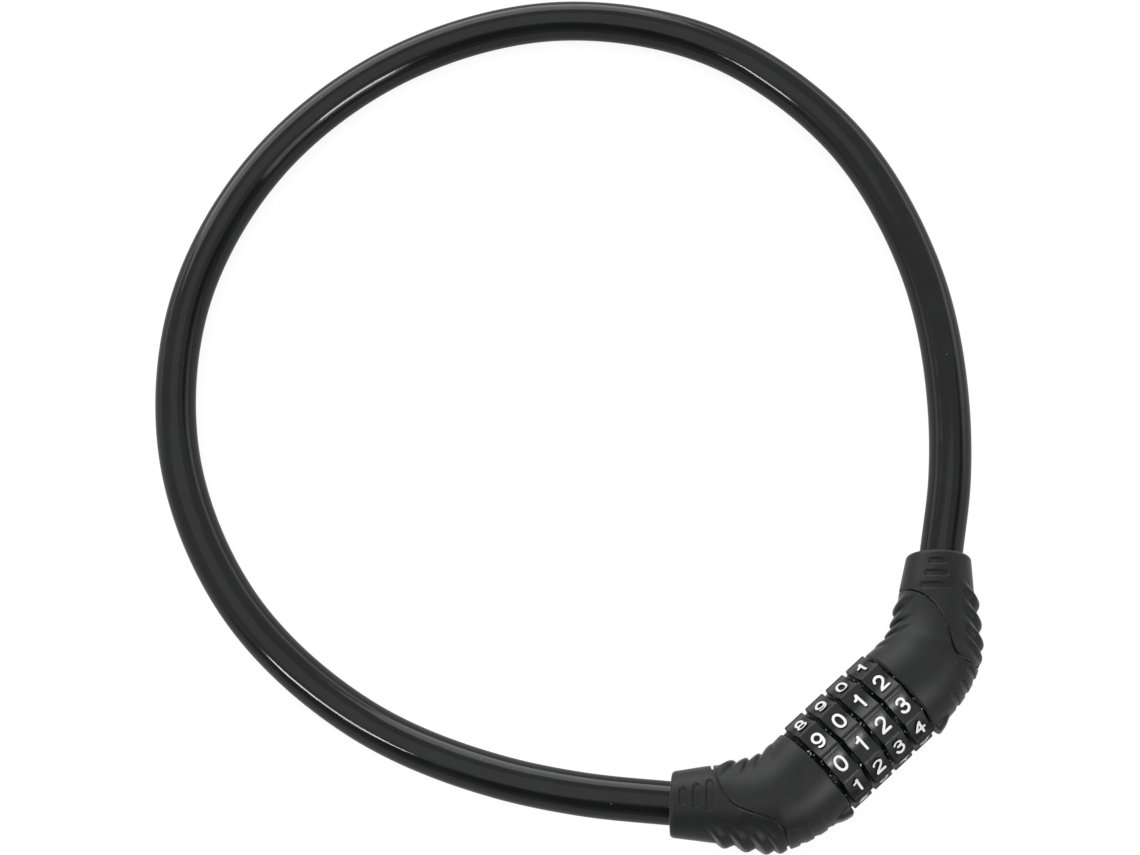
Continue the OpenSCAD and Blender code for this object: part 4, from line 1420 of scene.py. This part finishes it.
@dataclass
class DialStack:
    """Four ten-faced dials with hollow faces and raised digits, in millimetres."""

    count: int = 4
    faces: int = 10
    ridge_radius: float = 14.8
    width: float = 6.4
    gap: float = 1.3
    start_x: float = -14.45
    scoop_radius: float = 11.0
    scoop_depth: float = 0.8
    scoop_blend: float = 0.06
    bore: float = 10.9
    bore_wall: float = 1.2
    edge: float = 0.22
    ridge_rounding: float = 0.14
    ridge_reach: float = 0.5
    merge_gap: float = 0.005
    digit_height: float = 0.38
    digit_bevel: float = 0.05
    code: tuple[int, ...] = (0, 1, 2, 3)
    code_face_deg: float = 18.0
    sharp_deg: float = 28.0
    digit_sharp_deg: float = 40.0

    def __post_init__(self) -> None:
        """Works out the faces' distance from the axis."""
        self.half_face = math.pi / self.faces
        self.apothem = self.ridge_radius * math.cos(self.half_face)
        self.half_flat = self.apothem * math.tan(self.half_face)

    def place(self, number: int) -> float:
        """Start of a dial along the lock axis."""
        return self.start_x + (number - 1) * (self.width + self.gap)

    def floor(self, v: Array) -> Array:
        """Works out how far a face's surface is from the axis.

        Args:
            v: Place across the face, from its middle.

        Returns:
            The distance, along the face's normal.
        """
        centre = self.apothem - self.scoop_depth + self.scoop_radius
        hollow = centre - np.sqrt(np.maximum(0, self.scoop_radius**2 - v**2))
        k = self.scoop_blend
        h = np.clip(0.5 + 0.5 * (self.apothem - hollow) / k, 0, 1)
        flat = self.apothem * (1 - h) + hollow * h - k * h * (1 - h)
        edge = np.clip(1 - (self.half_flat - np.abs(v)) / self.ridge_reach, 0, 1)
        return flat - self.ridge_rounding * edge**2

    def sector(self, x: float) -> Mesh:
        """Makes one face of a dial, from ridge to ridge, around the X axis.

        Args:
            x: Start of the dial along the lock axis.

        Returns:
            Its mesh, open where it meets its neighbours.
        """
        v = np.unique(np.concatenate([np.linspace(-1, 1, 33), [-0.985, -0.965, -0.94, 0.94, 0.965, 0.985]]))
        v = v * self.half_flat
        angle = np.arctan2(v, np.full_like(v, self.apothem))
        radius = self.floor(v) / np.cos(angle)
        x1 = x + self.width
        bends = [(self.edge * (1 - math.cos(a)), self.edge * (1 - math.sin(a)))
                 for a in np.radians([0, 30, 60, 90])]
        walls = (self.bore, self.bore + self.bore_wall)
        across = [(x, None, wall) for wall in walls]
        across += [(x + inwards, drop, 0) for inwards, drop in bends]
        across += [(x + self.width * k, 0.0, 0) for k in (0.25, 0.5, 0.75)]
        across += [(x1 - inwards, drop, 0) for inwards, drop in reversed(bends)]
        across += [(x1, None, wall) for wall in reversed(walls)]
        rows = []
        for place, drop, fixed in across:
            r = np.full_like(angle, fixed) if drop is None else radius - drop
            along = np.full_like(angle, place)
            rows.append(np.stack([along, r * np.sin(angle), r * np.cos(angle)], axis=-1))
        n, m = len(angle), len(rows)
        faces = [(j * n + i, j * n + i + 1, (j + 1) % m * n + i + 1, (j + 1) % m * n + i)
                 for j in range(m) for i in range(n - 1)]
        mesh = bpy.data.meshes.new("dial_face")
        mesh.from_pydata((np.vstack(rows) * MM).tolist(), [], faces)
        return mesh

    def repeat_tool(self) -> NodeTool:
        """Makes the node group that repeats one face round the lock axis.

        Returns:
            The group.
        """
        tool = NodeTool("faces_round_axis", {
            "Count": "Int", "First angle": "Float", "Axis": "Vector", "Merge": "Float"})
        tree, given = tool.tree, tool.given
        spots = add_node(tree, "GeometryNodeMeshLine", {"Count": given["Count"], "Offset": (0.0, 0.0, 0.0)})
        step = add_node(tree, "Math", (2 * math.pi, given["Count"]), operation="DIVIDE")
        index = add_node(tree, "GeometryNodeInputIndex")
        angle = add_node(tree, "Math", (index, step), operation="MULTIPLY")
        angle = add_node(tree, "Math", (angle, given["First angle"]), operation="ADD")
        turn = add_node(tree, "CombineXYZ", {"X": angle})
        placed = add_node(tree, "GeometryNodeInstanceOnPoints", {
            "Points": spots, "Instance": given["Mesh"], "Rotation": turn})
        real = add_node(tree, "GeometryNodeRealizeInstances", {"Geometry": placed})
        joined = add_node(tree, "GeometryNodeMergeByDistance", {"Geometry": real, "Distance": given["Merge"]})
        moved = add_node(tree, "GeometryNodeTransform", {"Geometry": joined, "Translation": given["Axis"]})
        tool.end(moved)
        return tool

    def dial(self, number: int, tool: NodeTool, material: Material) -> Object:
        """Makes a dial from ten copies of its face.

        Args:
            number: Number of the dial, from 1 at the plug's side.
            tool: The node group that repeats a face.
            material: The dials' material.

        Returns:
            The dial.
        """
        name = f"dial_{number}_body"
        work = bmesh.new()
        work.from_mesh(tool.run(self.sector(self.place(number)), {
            "Count": self.faces, "First angle": self.half_face, "Axis": (0.0, AXIS_Y * MM, AXIS_Z * MM),
            "Merge": self.merge_gap * MM, "Finish": material}))
        return finished_piece(name, ended_mesh(name, work), material, self.sharp_deg)

    def digit_mesh(self, value: int, shape: Digit) -> tuple[Array, list[tuple[int, ...]]]:
        """Makes one raised digit lying flat, with y upwards and its base at height 0.

        Args:
            value: The digit.
            shape: Its design.

        Returns:
            Points in millimetres, and faces.
        """
        curve = bpy.data.curves.new("digit", "CURVE")
        curve.dimensions, curve.fill_mode = "2D", "BOTH"
        curve.extrude = self.digit_height * MM
        curve.bevel_depth, curve.bevel_resolution = self.digit_bevel * MM, 1
        curve.offset = -self.digit_bevel * MM
        for loop in shape.outline(value):
            spline = curve.splines.new("POLY")
            spline.points.add(len(loop) - 1)
            flat = np.zeros((len(loop), 4))
            flat[:, :2] = loop * MM
            flat[:, 3] = 1
            spline.points.foreach_set("co", flat.ravel())
            spline.use_cyclic_u = True
        work = bmesh.new()
        work.from_mesh(plain_mesh(new_object("digit", curve)))
        bmesh.ops.remove_doubles(work, verts=work.verts[:], dist=shape.merge_gap * MM)
        bmesh.ops.triangulate(work, faces=work.faces[:])
        bmesh.ops.recalc_face_normals(work, faces=work.faces[:])
        points = np.array([v.co for v in work.verts]) / MM
        work.verts.index_update()
        faces = [tuple(v.index for v in f.verts) for f in work.faces]
        work.free()
        return points, faces

    def digits(self, number: int, shapes: dict[int, tuple[Array, list[tuple[int, ...]]]],
               finishes: Finishes) -> Object:
        """Makes the ten digits of a dial, laid on its hollow faces.

        Args:
            number: Number of the dial.
            shapes: Flat mesh of each digit.
            finishes: The lock's finishes, with the paint on top and the dial's plastic at the sides.

        Returns:
            All ten as one piece.
        """
        middle = self.place(number) + self.width / 2
        every_point, every_face, walls, offset = [], [], [], 0
        for value, (points, faces) in shapes.items():
            turn = math.radians(self.code_face_deg) + 2 * self.half_face * (value - self.code[number - 1])
            out = self.floor(points[:, 1]) + points[:, 2]
            up = points[:, 1]
            y = up * math.cos(turn) - out * math.sin(turn)
            z = up * math.sin(turn) + out * math.cos(turn)
            every_point.append(np.stack([middle + points[:, 0], AXIS_Y + y, AXIS_Z + z], axis=-1))
            every_face += [tuple(i + offset for i in f) for f in faces]
            walls += [int(points[list(f), 2].min() < 0.5 * self.digit_height) for f in faces]
            offset += len(points)
        made = mesh_piece(f"dial_{number}_digits", np.vstack(every_point), every_face, finishes.paint,
                          self.digit_sharp_deg)
        made.data.materials.append(finishes.dial)
        made.data.polygons.foreach_set("material_index", walls)
        return made

    def build(self, finishes: Finishes) -> list[Object]:
        """Builds the dials and their digits.

        Args:
            finishes: The lock's finishes.

        Returns:
            All their pieces.
        """
        tool = self.repeat_tool()
        shape = Digit()
        shapes = {value: self.digit_mesh(value, shape) for value in range(self.faces)}
        pieces = []
        for number in range(1, self.count + 1):
            dial = self.dial(number, tool, finishes.dial)
            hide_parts(f"dial_{number}")
            digits = self.digits(number, shapes, finishes)
            for piece in (dial, digits):
                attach(piece, f"turning_dial_{number}")
                pieces.append(piece)
            log.info("dial %d: %d faces", number, len(dial.data.polygons))
        return pieces


# Mechanism: the CAD's own solids, dressed


@dataclass
class Mechanism:
    """The metal pieces inside the lock, which keep their CAD shapes."""

    plated_nodes: tuple[str, ...] = ("detent_spring",)
    black_nodes: tuple[str, ...] = ("nose_ring", "spacer_rings")
    turned_nodes: tuple[str, ...] = ("bolt", "bolt_pin", "barrel_pin", "lock_ferrule", "plug_ferrule",
                                     "lock_ferrule_pin", "plug_ferrule_pin")
    cast_nodes: tuple[str, ...] = ("lock_core", "plug_core", "barrel", "code_ring_1", "code_ring_2",
                                   "code_ring_3", "code_ring_4")

    def dress(self, finishes: Finishes) -> None:
        """Gives each solid its material.

        Args:
            finishes: The lock's finishes.
        """
        groups = ((self.plated_nodes, finishes.plated), (self.black_nodes, finishes.black),
                  (self.turned_nodes, finishes.turned), (self.cast_nodes, finishes.cast))
        for nodes, material in groups:
            for name in nodes:
                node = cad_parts[name]
                if not node.material_slots:
                    node.data.materials.append(material)
                for slot in node.material_slots:
                    slot.material = material
                log.info("%s: %s", name, material.name)


def main() -> None:
    """Builds the studio and every piece of the lock, and reports them."""
    logging.basicConfig(level=logging.INFO, format="%(name)s: %(message)s")
    Studio().build()
    finishes = Finishes()
    pieces = Cable().build(finishes)
    pieces += HousingForm().build(finishes)
    pieces += DialStack().build(finishes)
    Mechanism().dress(finishes)
    log.info("%d pieces made", len(pieces))


if __name__ == "__main__":
    main()
